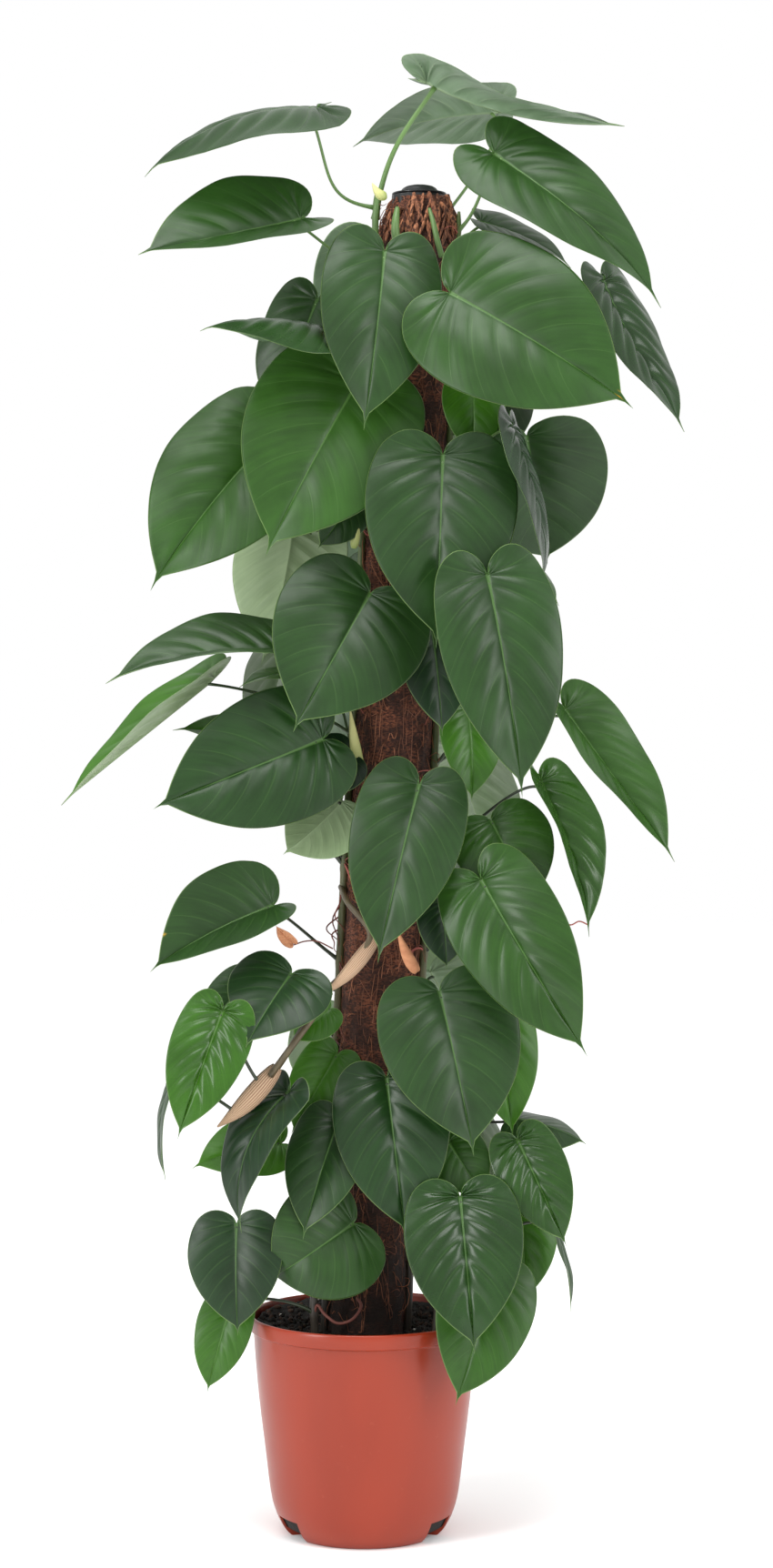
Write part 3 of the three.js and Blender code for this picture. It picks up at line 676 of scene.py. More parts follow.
def flake(skin, index, draw):
    """A flat strip that goes up the sleeve and round it a little, in towards the tube as the felt wears
    down. Its thickness is a quarter and the root of a sine, roughened by noise. At the bare side it is
    shorter."""
    part = np.linspace(0, 1, FLAKE_STEPS)
    start = draw.uniform(*FLAKE_ARC)
    turn = start + draw.uniform(-0.5, 0.5) * part
    up = draw.uniform(*FLAKE_FEET) + draw.uniform(*FLAKE_RISES) * part
    up = np.minimum(up, FLAKE_TOP - BARE_DROP * (start < BARE_BEFORE))
    slope = np.clip((up - FRAY_FROM) / (FLAKE_TOP - FRAY_FROM), 0, 1) ** 1.7
    radius = FLAKE_RADIUS - FLAKE_TAPER * slope + draw.uniform(-1.5, 1.5)
    radius = radius + 2.5 * (1 - part) ** 3 * draw.uniform(0, 1)
    path = pole_axis(up) + radius[:, None] * circle(turn)
    rough = 1 + 0.35 * noise(9 * part, 3.0 * index, seed=11)
    thickness = FLAKE_THICKNESS * (0.25 + np.sin(np.pi * part) ** 0.5) * rough
    tube(skin, path, thickness, 8, flat=draw.uniform(1.5, 4.2), look=2, tint=draw.uniform(0, 1))


draw = np.random.default_rng(41)
for index in range(FLAKES):
    flake(coir_skin, index, draw)
print("flakes:", FLAKES)

# %% Coir finishes
coir_finish = Finish("coir_felt", Roughness=0.95)
strand = coir_finish.spots(260, detail=10, stretch=(1, 1, 2.4))
mat = coir_finish.blend(coir_finish.spread(strand, 0.36, 0.68), srgb(44, 24, 16), srgb(132, 76, 52))
# Dark patches at random: partly the felt's own darker tufts, partly painted shade of its deep cracks.
patch = coir_finish.spread(coir_finish.spots(40, detail=6), 0.42, 0.62, 0, 0.8)
patched = coir_finish.blend(patch, mat, srgb(38, 20, 14))
# Painted shade: towards the soil, where the leaves shade it, the felt is darkened to nearly black.
coir_finish.set(Base_Color=coir_finish.blend(coir_finish.low(), patched, srgb(26, 16, 12)))
thread = coir_finish.bump(coir_finish.spots(520, detail=10, stretch=(1, 1, 3.2)), 0.0016, 1.0)
coir_finish.set(Normal=coir_finish.bump(coir_finish.spots(120, detail=6), 0.003, 0.8, thread))

fibre_finish = Finish("coir_fibre", Roughness=0.8)
fibre_brown = fibre_finish.blend(fibre_finish.mark("tint"), srgb(76, 42, 29), srgb(160, 102, 72))
fibre_finish.set(Base_Color=fibre_brown)

UPRIGHT = (1, 1, 0.5)
flake_finish = Finish("coir_flake", Roughness=0.9)
strand = flake_finish.spread(flake_finish.spots(420, detail=8, stretch=UPRIGHT), 0.36, 0.66)
bright = flake_finish.blend(flake_finish.mark("tint"), srgb(118, 70, 46), srgb(184, 122, 86))
flake_finish.set(Base_Color=flake_finish.blend(strand, srgb(58, 30, 20), bright))
flake_finish.set(Normal=flake_finish.bump(flake_finish.spots(600, detail=8, stretch=UPRIGHT), 0.0012, 1.0))

coir = coir_skin.piece("coir_sleeve", [coir_finish, fibre_finish, flake_finish])
settle(coir, "coir", "pole_coir")

# %% [markdown]
# ## The pole's cap and tube
# The cap is a plain black moulding: a plug, a rim and a low dome, turned from one profile. The tube stands
# inside the sleeve and shows only where the felt is worn off at the top. A finer tube would look the same
# there, so its solid stays and only gets the same black plastic.

# %% Cap
CAP_PROFILE = [
    [0, 1446.4], [25.6, 1446.4], [26.2, 1447], [26.2, 1466.3], [29.4, 1466.5], [29.9, 1467], [29.9, 1467.8],
    [29.2, 1468.4], [24, 1469], [21.6, 1469.8], [20.2, 1471.4], [18.4, 1473.6], [15, 1475.6], [10, 1476.8],
    [5, 1477.3], [0, 1477.4],
]
CAP_SIDES = 96
CAP_EDGE_ANGLE = 40.0

black_finish = Finish("black_plastic", Base_Color=srgb(22, 23, 25))
black_finish.set(Roughness=black_finish.spread(black_finish.spots(60, detail=6), 0.3, 0.75, 0.32, 0.55))
black_finish.set(Normal=black_finish.bump(black_finish.spots(1800, detail=2), 0.00008, 0.6))
cap_skin = Skin()
cap_skin.add(turned(CAP_PROFILE, CAP_SIDES, middle=lambda up: pole_axis(up) * [1, 0, 0]), ring=True)
cap = cap_skin.piece("pole_end_cap", [black_finish])
cap.data.set_sharp_from_angle(angle=np.radians(CAP_EDGE_ANGLE))
settle(cap, "black_plastic", "pole_cap")

tube_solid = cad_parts["pole_tube"]
tube_solid.data.materials.clear()
tube_solid.data.materials.append(black_finish.material)
print("cap rise above the tube:", CAP_PROFILE[-1][1] - POLE_TOP)

# %% [markdown]
# ## The leaf blade
# Every blade has the same plan and its own size, place, turn and folds. The outline of one half runs from the
# notch, round the lobe, to the tip and its thread-like end. Side veins leave the midrib at a wide angle and
# curve towards the tip, so the grid's columns follow them: a column starts on the midrib, or at the notch for
# the lobes, and ends on the outline. The upper and the lower face are one sheet that turns round the margin.
# A picture of a leaf on a flat card would be less work, but it has no folds to catch the light.

# %% Outline and veins
# Parts of the half width and of the length, from the notch to the end of the drip tip
OUTLINE = [
    [0, 0], [0.05, -0.055], [0.17, -0.1], [0.36, -0.13], [0.58, -0.118], [0.8, -0.05], [0.94, 0.07],
    [1, 0.22], [0.985, 0.37], [0.9, 0.52], [0.765, 0.65], [0.58, 0.765], [0.38, 0.86], [0.2, 0.93],
    [0.085, 0.968], [0.035, 0.99], [0.016, 1.015], [0.012, 1.04], [0, 1.065],
]
OUTLINE_STEPS = 400
USUAL_SHAPE = [0.38, 1]
TIP_END = OUTLINE[-1][1]
LOBE_SHARE = 0.3
VEIN_ENDS = [0.1, 0.22, 0.34, 0.46, 0.57, 0.67, 0.76, 0.84]
STEPS_BETWEEN_VEINS = 6
MARGIN_STEPS = np.array([0, 0.02, 0.05, 0.1, 0.17, 0.26, 0.37, 0.49, 0.61, 0.73, 0.84, 0.93, 0.975, 1])
PLAIN_SHAPE = {"fold": 0.35, "droop": 0.3, "bow": 0.06, "twist": 0.0, "curl": 0.01}
PLAIN_STALK = {"out": 0.3, "rise": 0.22, "below": 0.0, "swing": 0.0, "thick": 1.0}
CURL_FROM = 0.5
BLADE_WAVE = 0.012
BLADE_MIDDLE = 0.5
BLADE_HALF = 0.25

knots = [0, *VEIN_ENDS, 1]
stretches = [np.linspace(start, end, STEPS_BETWEEN_VEINS + 1) for start, end in zip(knots, knots[1:])]
SWEEP = np.unique(np.concatenate(stretches))
outline_line = smooth_path(OUTLINE, OUTLINE_STEPS)
outline_length = travelled(outline_line * USUAL_SHAPE)
outline_length = outline_length / outline_length[-1]


def blade_plan(sweep, reach):
    """Across and along, for a column that ends at sweep parts of the outline, at reach parts of its way. The
    way is a curve with one handle, which lets it leave the midrib at half a right angle and bend to the
    tip."""
    end_x = np.interp(sweep, outline_length, outline_line[:, 0])
    end_y = np.interp(sweep, outline_length, outline_line[:, 1])
    start = TIP_END * np.clip((sweep - LOBE_SHARE) / (1 - LOBE_SHARE), 0, 1) ** 2.1
    bend = 2 * reach * (1 - reach)
    across = bend * 0.62 * end_x + reach**2 * end_x
    length = (1 - reach) ** 2 * start + bend * (start + 0.32 * (end_y - start)) + reach**2 * end_y
    return across, length


def make_leaf(notch, tip, width, turn, facing, shape, phase):
    """A blade's own directions: axis from notch to tip, face square to it, and side square to both."""
    axis = tip - notch
    length = np.linalg.norm(axis)
    axis = axis / length
    face = unit(facing - (facing @ axis) * axis)
    side = np.cross(face, axis)
    own = {"notch": notch, "axis": axis, "face": face, "side": side, "length": length}
    own.update(width=width, turn=turn, phase=phase)
    return {**own, **PLAIN_SHAPE, **PLAIN_STALK, **shape}


def blade_frame(leaf, y):
    """Face and edge directions, turned about the axis by the leaf's turn and its twist along the length."""
    turn = np.radians(leaf["turn"] + leaf["twist"] * np.asarray(y, float))[..., None]
    face = leaf["face"] * np.cos(turn) + leaf["side"] * np.sin(turn)
    edge = leaf["side"] * np.cos(turn) - leaf["face"] * np.sin(turn)
    return face, edge


def blade_point(leaf, side, x, y, sink):
    """notch + axis * y * length + edge * side * x * half + face * height. The height is
    half * (fold * x - droop * x squared) + bow * length * 4 y (1 - y) + a wave that grows towards the
    margin, and the lobes behind the notch have no bow. Past the middle the length rolls onto an arc, whose
    angle is curl times how far past it is."""
    half = leaf["width"] / 2
    bow = leaf["bow"] * leaf["length"] * 4 * np.clip(y, 0, None) * (1 - y)
    arch = half * (leaf["fold"] * x - leaf["droop"] * x**2) + bow
    wave = BLADE_WAVE * leaf["length"] * x**2 * np.sin(10 * y + 3 * side + leaf["phase"])
    face, edge = blade_frame(leaf, y)
    roll = leaf["curl"] * np.clip(y - CURL_FROM, 0, None)
    sink = sink + leaf["length"] * (1 - np.cos(roll)) / leaf["curl"]
    y = np.minimum(y, CURL_FROM) + np.sin(roll) / leaf["curl"]
    point = leaf["notch"] + leaf["axis"] * (y * leaf["length"])[..., None]
    return point + edge * (side * x * half)[..., None] + face * (arch + wave - sink)[..., None]


print("blade grid:", len(SWEEP), "columns of", 2 * len(MARGIN_STEPS) - 1)

# %% Relief of a blade
QUILT = 1.7
RIB_GROOVE = 0.35
RIB_HEIGHT = 1.1
RIB_WIDTH = 2.4
GROOVE_WIDTH = 1.6
LIMPNESS = 0.9
USUAL_LENGTH = 200.0
RIM_FROM = 0.3
RIM_SPAN = 0.62
RIM_FLATNESS = 0.92


def vein_count(sweep):
    """How many side veins lie between the notch and a place on the outline, with fractions."""
    return np.interp(sweep, knots, np.arange(len(knots)))


def relief(leaf, side, sweep, reach, x, y, quilt):
    """How far the blade stands up. Between two veins it swells by the sine of the way across, less at the
    midrib, the rim and the tip. It sinks to a groove over the midrib, and all of it is a little limp: two
    sines whose product grows with x."""
    scale = leaf["length"] / USUAL_LENGTH
    rim = np.clip((reach - RIM_FROM) / RIM_SPAN, 0, 1)
    rim = 1 - RIM_FLATNESS * rim**2 * (3 - 2 * rim)
    swell = (1 - np.exp(-reach / 0.09)) * rim * np.clip((TIP_END - y) / 0.3, 0, 1)
    quilted = QUILT * quilt * scale * np.abs(np.sin(np.pi * vein_count(sweep))) ** 0.8 * swell
    groove = RIB_GROOVE * scale * np.exp(-((x * leaf["width"] / 2 / GROOVE_WIDTH) ** 2))
    limp = LIMPNESS * scale * np.sin(7 * y + 2.1 * leaf["phase"]) * np.sin(5 * x + side + leaf["phase"]) * x
    return quilted - groove + limp


def under_rib(leaf, x, y):
    """The midrib's height on the lower face: a bell curve across it, lower towards the tip."""
    bell = np.exp(-((x * leaf["width"] / 2 / RIB_WIDTH) ** 2))
    height = RIB_HEIGHT * leaf["length"] / USUAL_LENGTH * np.clip(1.15 - y, 0, 1)
    return height * bell * np.clip(y / 0.04, 0, 1)


# %% One half of a blade as a grid
THREAD_HANG = 2.4
SPOT_RADIUS = 9.0


def blade_marks(leaf, side, sweep, reach, x, y):
    """How far each point lies from a side vein, from the midrib and from the margin. The gaps grow where the
    line should be thinner: the veins' towards the margin and close to the rib, the rib's towards the tip."""
    flat = np.stack([x * leaf["width"] / 2, y * leaf["length"]], axis=-1)
    pace = np.linalg.norm(np.gradient(flat, SWEEP, axis=0), axis=-1)
    vein = np.abs(sweep[..., None] - np.array(VEIN_ENDS)).min(axis=-1) * pace
    vein = vein / (1.25 - reach) + 1.6 * np.clip(1 - reach / 0.22, 0, 1)
    rib_width = 0.3 + 0.75 * np.clip(1 - y, 0, 1) + 1.3 * np.exp(-np.clip(y, 0, None) / 0.1)
    margin = len(MARGIN_STEPS) - 1
    ray = np.linalg.norm(flat[:, margin:margin + 1] - flat[:, :1], axis=-1)
    rib = flat[..., 0] / rib_width
    cell = vein_count(sweep) + 20 * side + 50 * leaf["phase"]
    return {"vein": vein, "rib": rib, "edge": (1 - reach) * ray, "along": reach, "round": cell}


def half_blade(skin, leaf, side, tint, quilt, looks=(0, 1), spot=None):
    """The columns go round the margin: out along the upper face and back along the lower one. The thread at
    the tip hangs by the square of its way."""
    reach = np.concatenate([MARGIN_STEPS, MARGIN_STEPS[-2::-1]])
    layer = np.concatenate([np.ones(len(MARGIN_STEPS) - 1), [0], -np.ones(len(MARGIN_STEPS) - 1)])
    sweep, reach = np.meshgrid(SWEEP, reach, indexing="ij")
    x, y = blade_plan(sweep, reach)
    sink = BLADE_MIDDLE - layer * BLADE_HALF - relief(leaf, side, sweep, reach, x, y, quilt)
    grid = blade_point(leaf, side, x, y, sink + (layer < 0) * under_rib(leaf, x, y))
    hang = np.clip(y - 1, 0, None) ** 2 * leaf["length"] * THREAD_HANG
    grid = grid - hang[..., None] * UP
    look = np.where(layer[:-1] + layer[1:] < 0, looks[1], looks[0])
    blot = 0.0
    if spot is not None:
        blot = np.clip(1 - np.linalg.norm(grid - place(*spot), axis=-1) / SPOT_RADIUS, 0, 1)
    own = {"tint": tint, "spot": blot, "gloss": np.clip((quilt - 1) / 2, 0, 1)}
    skin.add(grid, look=look, **own, **blade_marks(leaf, side, sweep, reach, x, y))


print("points of a blade:", 2 * len(SWEEP) * (2 * len(MARGIN_STEPS) - 1))

# %% Leaf stalk
PETIOLE_RADIUS = 1.9
PETIOLE_SEAT = 0.05
PETIOLE_SINK = 0.8
PETIOLE_STEPS = 26
ARRIVING_UNDER = 0.15
ARRIVING_BEHIND = 0.1
POLE_CLEARANCE = 1.0
CAP_RISE = 11.0


def petiole(skin, leaf, base, tint):
    """A curve with two handles, from the stem out and up, that arrives under the blade from behind the notch.
    What would lie in the pole is pushed out to its surface, and the line is smoothed again: each point takes
    half of itself and a quarter of each neighbour."""
    reach = np.linalg.norm(leaf["notch"] - base)
    flat = unit((base - pole_axis(base[2])) * [1, 1, 0])
    swing = np.radians(leaf["swing"])
    flat = flat * np.cos(swing) + np.cross(UP, flat) * np.sin(swing)
    face = blade_frame(leaf, 0.0)[0]
    handles = [
        base,
        base + flat * leaf["out"] * reach + UP * leaf["rise"] * reach,
        leaf["notch"] - reach * (face * ARRIVING_UNDER + leaf["axis"] * ARRIVING_BEHIND + UP * leaf["below"]),
        blade_point(leaf, 1, np.array(0.0), np.array(PETIOLE_SEAT), PETIOLE_SINK),
    ]
    part = np.linspace(0, 1, PETIOLE_STEPS)[:, None]
    share = [(1 - part) ** 3, 3 * part * (1 - part) ** 2, 3 * part**2 * (1 - part), part**3]
    path = sum(weight * handle for weight, handle in zip(share, handles))
    away = (path - pole_axis(path[:, 2])) * [1, 1, 0]
    gap = np.linalg.norm(away, axis=1, keepdims=True)
    least = COIR_RADIUS + PETIOLE_RADIUS + POLE_CLEARANCE
    inside = (gap < least) & (path[:, 2:] < POLE_TOP + CAP_RISE)
    path = np.where(inside, path + away / gap * (least - gap), path)
    for _ in range(3):
        path[1:-1] = (path[:-2] + 2 * path[1:-1] + path[2:]) / 4
    part = part[:, 0]
    flare = 0.7 * np.exp(-part * 18) + 0.25 * np.exp(-((1 - part) * 14))
    radius = PETIOLE_RADIUS * (1.0 - 0.22 * part + flare)
    tube(skin, path, leaf["thick"] * radius, 10, look=2, tint=tint)


print("stalk steps:", PETIOLE_STEPS)

# %% [markdown]
# ## Where the leaves are
# The leaves that the photograph shows were placed from it, one row each: the notch and the tip as millimetres
# across, up and out towards the viewer, the width, the turn about the midrib, the height at which the stalk
# leaves the stem, and what differs from the plain shape. The last two numbers are only looks: how fresh its
# green is, which for each leaf also holds painted light and shade, and how strongly it is quilted. The back
# is filled by a rule, as the solids are. Some leaves at the top stand on stalks that arch over or rise
# steeply. The steep ones swing round the pole's top and are stout here, and the solids keep them thin and
# nearly straight, because there they only carry the blade.

# %% Leaves shown by the front
ARCHED = {"out": 0.5, "rise": 0.05, "below": 0.42}
ERECT = {"out": 0.3, "rise": 0.45, "below": 0.2, "swing": 100, "thick": 1.6}
# The tint of each row is the leaf's own freshness and also painted light and shade.
SHOWN = {
    "vine_left": [
        ([-52, 1563, 40], [-232, 1499, 85], 148, -67, 1452,
         dict(fold=-0.2, droop=0, bow=0.1, **ARCHED), 0.3, 2.2),
        ([-70, 1440, 60], [-238, 1406, 125], 132, -48, 1370, dict(fold=0.45, droop=0.05, bow=0), 0.5, 1.3),
        ([22, 1405, 85], [1, 1223, 125], 130, 8, 1330, {}, 0.4, 0.8),
        ([68, 1590, 30], [272, 1545, 70], 124, 95, 1440,
         dict(fold=0.45, droop=0.2, twist=-22, bow=-0.06, **ERECT), 0.3, 3.0),
        ([-39, 1321, 80], [-172, 1322, 150], 110, -76, 1250, dict(fold=-0.2), 0.3, 2.2),
        ([-8, 1261, 62], [-103, 1084, 92], 188, -5, 1190, {}, 0.6, 0.8),
        ([6, 1029, 72], [-73, 888, 118], 168, 0, 955, {}, 0.4, 1.1),
        ([-86, 965, 56], [-273, 937, 88], 108, -65, 925, dict(fold=0.5, droop=0.1), 0.5, 1.6),
        ([-46, 868, 75], [-221, 798, 108], 146, -8, 730, dict(bow=0), 0.25, 1.7),
        ([-11, 1136, 54], [-49, 1081, 64], 60, 20, 1095, {}, 0.3, 1.0),
        ([60, 819, 84], [17, 636, 125], 122, -6, 735, {}, 0.35, 0.8),
        ([-101, 685, 70], [-228, 620, 100], 106, -39, 625, dict(fold=0.67, droop=0.05), 0.45, 1.1),
        ([-80, 611, 85], [-128, 536, 140], 112, -20, 560, {}, 0.15, 1.0),
        ([24, 496, 72], [44, 331, 104], 125, 0, 425, {}, 0.18, 2.0),
        ([-38, 572, 54], [-78, 538, 60], 46, -5, 540, {}, 0.8, 1.0),
        ([-25, 800, 45], [-85, 745, 62], 100, 150, 730, {}, 0.9, 1.0),
        ([-15, 850, 54], [-72, 815, 62], 70, -20, 790, {}, 0.0, 1.0),
        ([-52, 1352, 16], [-94, 1212, 14], 104, -25, 1290, {}, 0.4, 1.0),
        ([-30, 522, 36], [-78, 440, 40], 70, -5, 470, {}, 1.0, 1.0),
    ],
    "vine_right": [
        ([94, 1359, 118], [283, 1243, 152], 180, 8, 1290, {}, 0.52, 1.1),
        ([142, 1512, 70], [317, 1359, 125], 120, 22, 1425, dict(twist=30), 0.5, 1.2),
        ([86, 1181, 104], [79, 983, 122], 162, 0, 1110, {}, 0.3, 1.5),
        ([135, 1049, 150], [172, 821, 172], 132, 10, 985, {}, 0.4, 1.2),
        ([178, 1202, 14], [200, 1069, -62], 165, 0, 1130, {}, 0.4, 0.9),
        ([160, 1212, 95], [197, 1048, 112], 112, 76, 1150, dict(fold=0.2), 0.1, 2.6),
        ([119, 1261, 58], [119, 1181, 66], 70, 10, 1200, {}, 1.0, 1.0),
        ([192, 822, 60], [246, 664, 92], 74, 46, 735, dict(fold=0.72, droop=0.05), 0.6, 2.8),
        ([139, 779, 65], [183, 686, 90], 110, 10, 715, {}, 0.6, 1.8),
        ([128, 714, 112], [237, 533, 148], 122, -8, 635, {}, 0.56, 1.8),
        ([82, 591, 85], [118, 423, 122], 152, 8, 515, {}, 0.35, 1.1),
        ([114, 903, 44], [118, 806, 54], 70, 15, 840, {}, 0.8, 1.0),
        ([74, 990, 60], [85, 880, 70], 80, 10, 910, {}, 0.0, 0.8),
        ([85, 690, 58], [90, 620, 64], 60, 10, 640, {}, 0.0, 0.8),
    ],
    "vine_back_left": [
        ([-96, 1208, -2], [-228, 1046, 35], 172, -20, 1120, {}, 0.58, 1.3),
        ([-165, 936, 20], [-324, 807, 45], 88, -78, 860, dict(fold=0.55, droop=0.05, bow=0), 0.85, 1.4),
        ([-60, 845, -20], [-201, 880, 5], 96, -60, 790, {}, 0.9, 1.0),
        ([-56, 941, 6], [-133, 929, 34], 64, -75, 880, {}, 0.9, 1.4),
        ([-78, 1105, -46], [-110, 961, -22], 140, 155, 1030, {}, 1.0, 1.4),
        ([-126, 602, 20], [-178, 548, 30], 60, -20, 570, {}, 0.3, 1.0),
        ([-92, 424, 6], [-184, 400, 26], 84, -45, 370, {}, 1.0, 1.0),
    ],
    "vine_back_right": [
        ([147, 1557, -88], [-4, 1526, -62], 116, -114, 1440, {}, 0.3, 2.8),
        ([151, 1079, 70], [211, 1021, 90], 70, 75, 1010, {}, 0.6, 1.6),
        ([262, 1372, -10], [346, 1218, 20], 112, 56, 1320, dict(bow=-0.02), 0.25, 2.8),
        ([128, 1437, -20], [222, 1392, -35], 80, 64, 1385, {}, 0.35, 1.0),
        ([220, 901, 10], [334, 746, 40], 92, 46, 820, dict(fold=0.6, droop=0.1, bow=0), 0.62, 1.6),
        ([138, 585, 30], [162, 440, 50], 86, 10, 520, {}, 1.0, 1.2),
        ([166, 452, 20], [239, 427, 40], 74, 60, 420, dict(fold=-0.3, droop=0.1), 0.4, 1.0),
    ],
    "shoot_left": [
        ([-28, 450, 64], [-66, 328, 100], 88, -16, 380, {}, 0.26, 0.9),
        ([-141, 336, 65], [-140, 221, 85], 104, -8, 300, {}, 0.12, 0.7),
        ([-12, 336, 72], [-105, 272, 100], 130, -5, 290, dict(curl=2.4), 0.5, 1.0),
        ([-146, 250, 45], [-172, 156, 52], 62, -10, 250, {}, 0.8, 0.8),
    ],
    "shoot_right": [
        ([168, 428, 92], [219, 318, 112], 78, 5, 370, {}, 0.52, 3.4),
        ([168, 360, 28], [178, 255, 44], 80, 15, 320, {}, 0.8, 1.0),
        ([105, 366, 114], [120, 204, 156], 126, 0, 310, {}, 0.35, 3.2),
        ([143, 283, 84], [103, 146, 122], 106, 5, 280, {}, 0.65, 1.2),
        ([204, 340, 72], [227, 246, 86], 40, 80, 300, {}, 0.3, 1.0),
        ([92, 426, 70], [130, 366, 84], 66, 5, 330, {}, 0.6, 1.0),
    ],
    "hanging_shoot": [
        ([-156, 570, 125], [-203, 438, 152], 84, -5, 500, {}, 0.7, 3.2),
        ([-213, 491, 90], [-221, 391, 100], 60, -80, 470, {}, 0.2, 1.0),
        ([-83, 481, 100], [-138, 338, 118], 84, -50, 475, dict(bow=0.18), 0.0, 1.2),
    ],
}
print("leaves shown by the front:", sum(len(rows) for rows in SHOWN.values()))

# %% Leaves round the back
BACK_LEAVES = 22
BACK_BARE = (12, 15, 20)
BACK_TOP = 1450.0
BACK_BOTTOM = 320.0
BACK_FROM = 128.0
BACK_SWEEP = 104.0
BACK_START = 0.68
BACK_STEP = 0.41
BACK_LENGTH = (195, 20)
BACK_SHRINK = 55
BACK_WIDTH = 0.76
BACK_NEAR = 64
BACK_REACH = (20, 46)
BACK_APART = 40
BACK_STEEP = 8
BACK_LEAN = (20, 26)
BACK_STRAY = (-18, 36)
BACK_TURN = (-25, 50)
BACK_FACING_UP = 0.2
BACK_STALK_DROP = 74
STRAIGHT_BACK = 180


def drawn(least_and_more, index, draw):
    """The least value and a share of the rest, by chance."""
    return least_and_more[0] + least_and_more[1] * chance(index, draw)


def back_leaf(index):
    """Down the pole at equal steps, each turned on by a fixed part of the sweep from the one above it. The
    more a leaf is behind the pole, the further it stands out and the more it leans. The left stem's leaves
    stand out further still, and a few places stay bare, because the front shows nothing there."""
    part = (index + 0.5) / BACK_LEAVES
    up = BACK_TOP + (BACK_BOTTOM - BACK_TOP) * part
    azimuth = BACK_FROM + BACK_SWEEP * ((BACK_START + index * BACK_STEP) % 1)
    behind = np.cos(np.radians(azimuth - STRAIGHT_BACK))
    length = drawn(BACK_LENGTH, index, 1) - BACK_SHRINK * part
    lean = np.radians(BACK_STEEP + drawn(BACK_LEAN, index, 3) * behind)
    reach = BACK_NEAR + drawn(BACK_REACH, index, 2) * behind + BACK_APART * (azimuth > STRAIGHT_BACK)
    notch = pole_axis(up) + reach * outward(azimuth)
    tip_way = outward(azimuth + drawn(BACK_STRAY, index, 4)) * np.sin(lean)
    tip = notch + length * tip_way - length * np.cos(lean) * UP
    facing = outward(azimuth) + BACK_FACING_UP * UP
    leaf = make_leaf(notch, tip, BACK_WIDTH * length, drawn(BACK_TURN, index, 5), facing, {}, index)
    owner = "vine_back_right" if azimuth < STRAIGHT_BACK else "vine_back_left"
    return owner, leaf, up - BACK_STALK_DROP


BACK = {index: back_leaf(index) for index in range(BACK_LEAVES) if index not in BACK_BARE}
print("leaves round the back:", len(BACK))

# %% [markdown]
# ## Stems, roots and sheaths
# A climbing stem keeps to the sleeve and sways a little as it goes up. Where a leaf stands it has a node: a
# swollen ring, from which short brown roots grip the fibre. Thin papery sheaths, which once wrapped the young
# leaves, stay on the side shoot and on the younger nodes. Each of these is a tube along a short path, so the
# places of the paths are listed first. A real sheath is thin and open at one side, but a flat closed spindle
# looks the same from a step away and leaves no open edge.

# %% Stem routes
STEM_RADIUS = 4.5
STEM_PRESS = 1.4


def climber(azimuth, sway, pace, start):
    """The pole's axis plus the sleeve's radius outward, at an azimuth that sways as a sine of the height. The
    stem is pressed a little into the felt."""
    radius = COIR_RADIUS + STEM_RADIUS - STEM_PRESS
    return lambda up: pole_axis(up) + radius * outward(azimuth + sway * np.sin(up / pace + start))


def routed(spots):
    """Straight from one given place to the next, read by height."""
    path = places(spots)[::-1]
    return lambda up: np.stack([np.interp(up, path[:, 2], path[:, axis]) for axis in range(3)], axis=-1)


STEMS = {
    "vine_left": (climber(-78, 8, 130, 0), 1475),
    "vine_right": (climber(78, 8, 150, 1), 1450),
    "vine_back_left": (climber(-146, 8, 140, 2), 1420),
    "vine_back_right": (climber(146, 8, 120, 3), 1465),
    "shoot_left": (routed([[-44, 410, 66], [-52, 330, 70], [-56, 250, 66], [-52, 150, 60]]), 408),
    "shoot_right": (routed([[70, 430, 62], [84, 350, 66], [82, 260, 60], [72, 150, 54]]), 428),
}
print("stems:", len(STEMS))

# %% Places of the side shoot, sheaths and roots
HANGING = [
    [-26, 706, 4], [-18, 688, 40], [6, 655, 54], [-10, 625, 66], [-51, 581, 85], [-71, 546, 95],
    [-101, 500, 105], [-140, 452, 113],
]
SHEATHS = [([14, 652, 50], [-44, 588, 86], 8.5), ([-96, 508, 104], [-162, 442, 118], 11)]
TOP_STALKS = [
    ([[36, 1412, 56], [34, 1424, 57], [34, 1438, 56], [36, 1453, 50]], 4.6),
    ([[85, 1398, 62], [80, 1416, 62], [76, 1434, 60], [71, 1452, 54]], 3.2),
    ([[12, 1424, 32], [12, 1440, 34], [13, 1456, 35], [15, 1470, 34]], 3.4),
]
FRONT_STEM = [[-38, 590, 98], [-56, 564, 110], [-82, 528, 116], [-104, 498, 112]]
NODE_SHEATHS = [
    ([-12, 1078, 50], [-7, 1128, 54], 5.5),
    ([-4, 822, 52], [-16, 902, 52], 6.5),
    ([-2, 706, 50], [-12, 762, 53], 6),
    ([24, 1466, 52], [8, 1480, 56], 5.5),
    ([92, 1250, 50], [100, 1284, 52], 5),
]
BRACT = ([58, 612, 56], [36, 658, 54], 6.5)
LOOSE_ROOT_NODES = [700, 690, 676, 660, 1120, 860]
DRY_LEAF = ([-79, 644, 52], [-97, 662, 58], 16)
DRY_STALK = [[-35, 638, 46], [-52, 646, 50], [-66, 646, 52], [-78, 642, 52]]
SOIL_ROOT = [
    [-56, 232, 66], [-52, 246, 72], [-44, 236, 80], [-30, 226, 86], [-14, 230, 84], [-4, 244, 72],
    [-8, 254, 62],
]
YOUNG_ROOT = [[214, 670, 58], [226, 664, 62], [236, 668, 62], [246, 664, 64]]
YELLOW_SPOTS = {("vine_left", 11): [-221, 653, 100], ("vine_right", 0): [278, 1247, 150]}
print("sheaths:", len(SHEATHS) + len(NODE_SHEATHS) + 1)

# %% Stems
STEM_FOOT = 166.0
STEM_SIDES = 12
STEM_STEP = 5.0
GREEN_FROM = 300
GREEN_SPAN = 1200


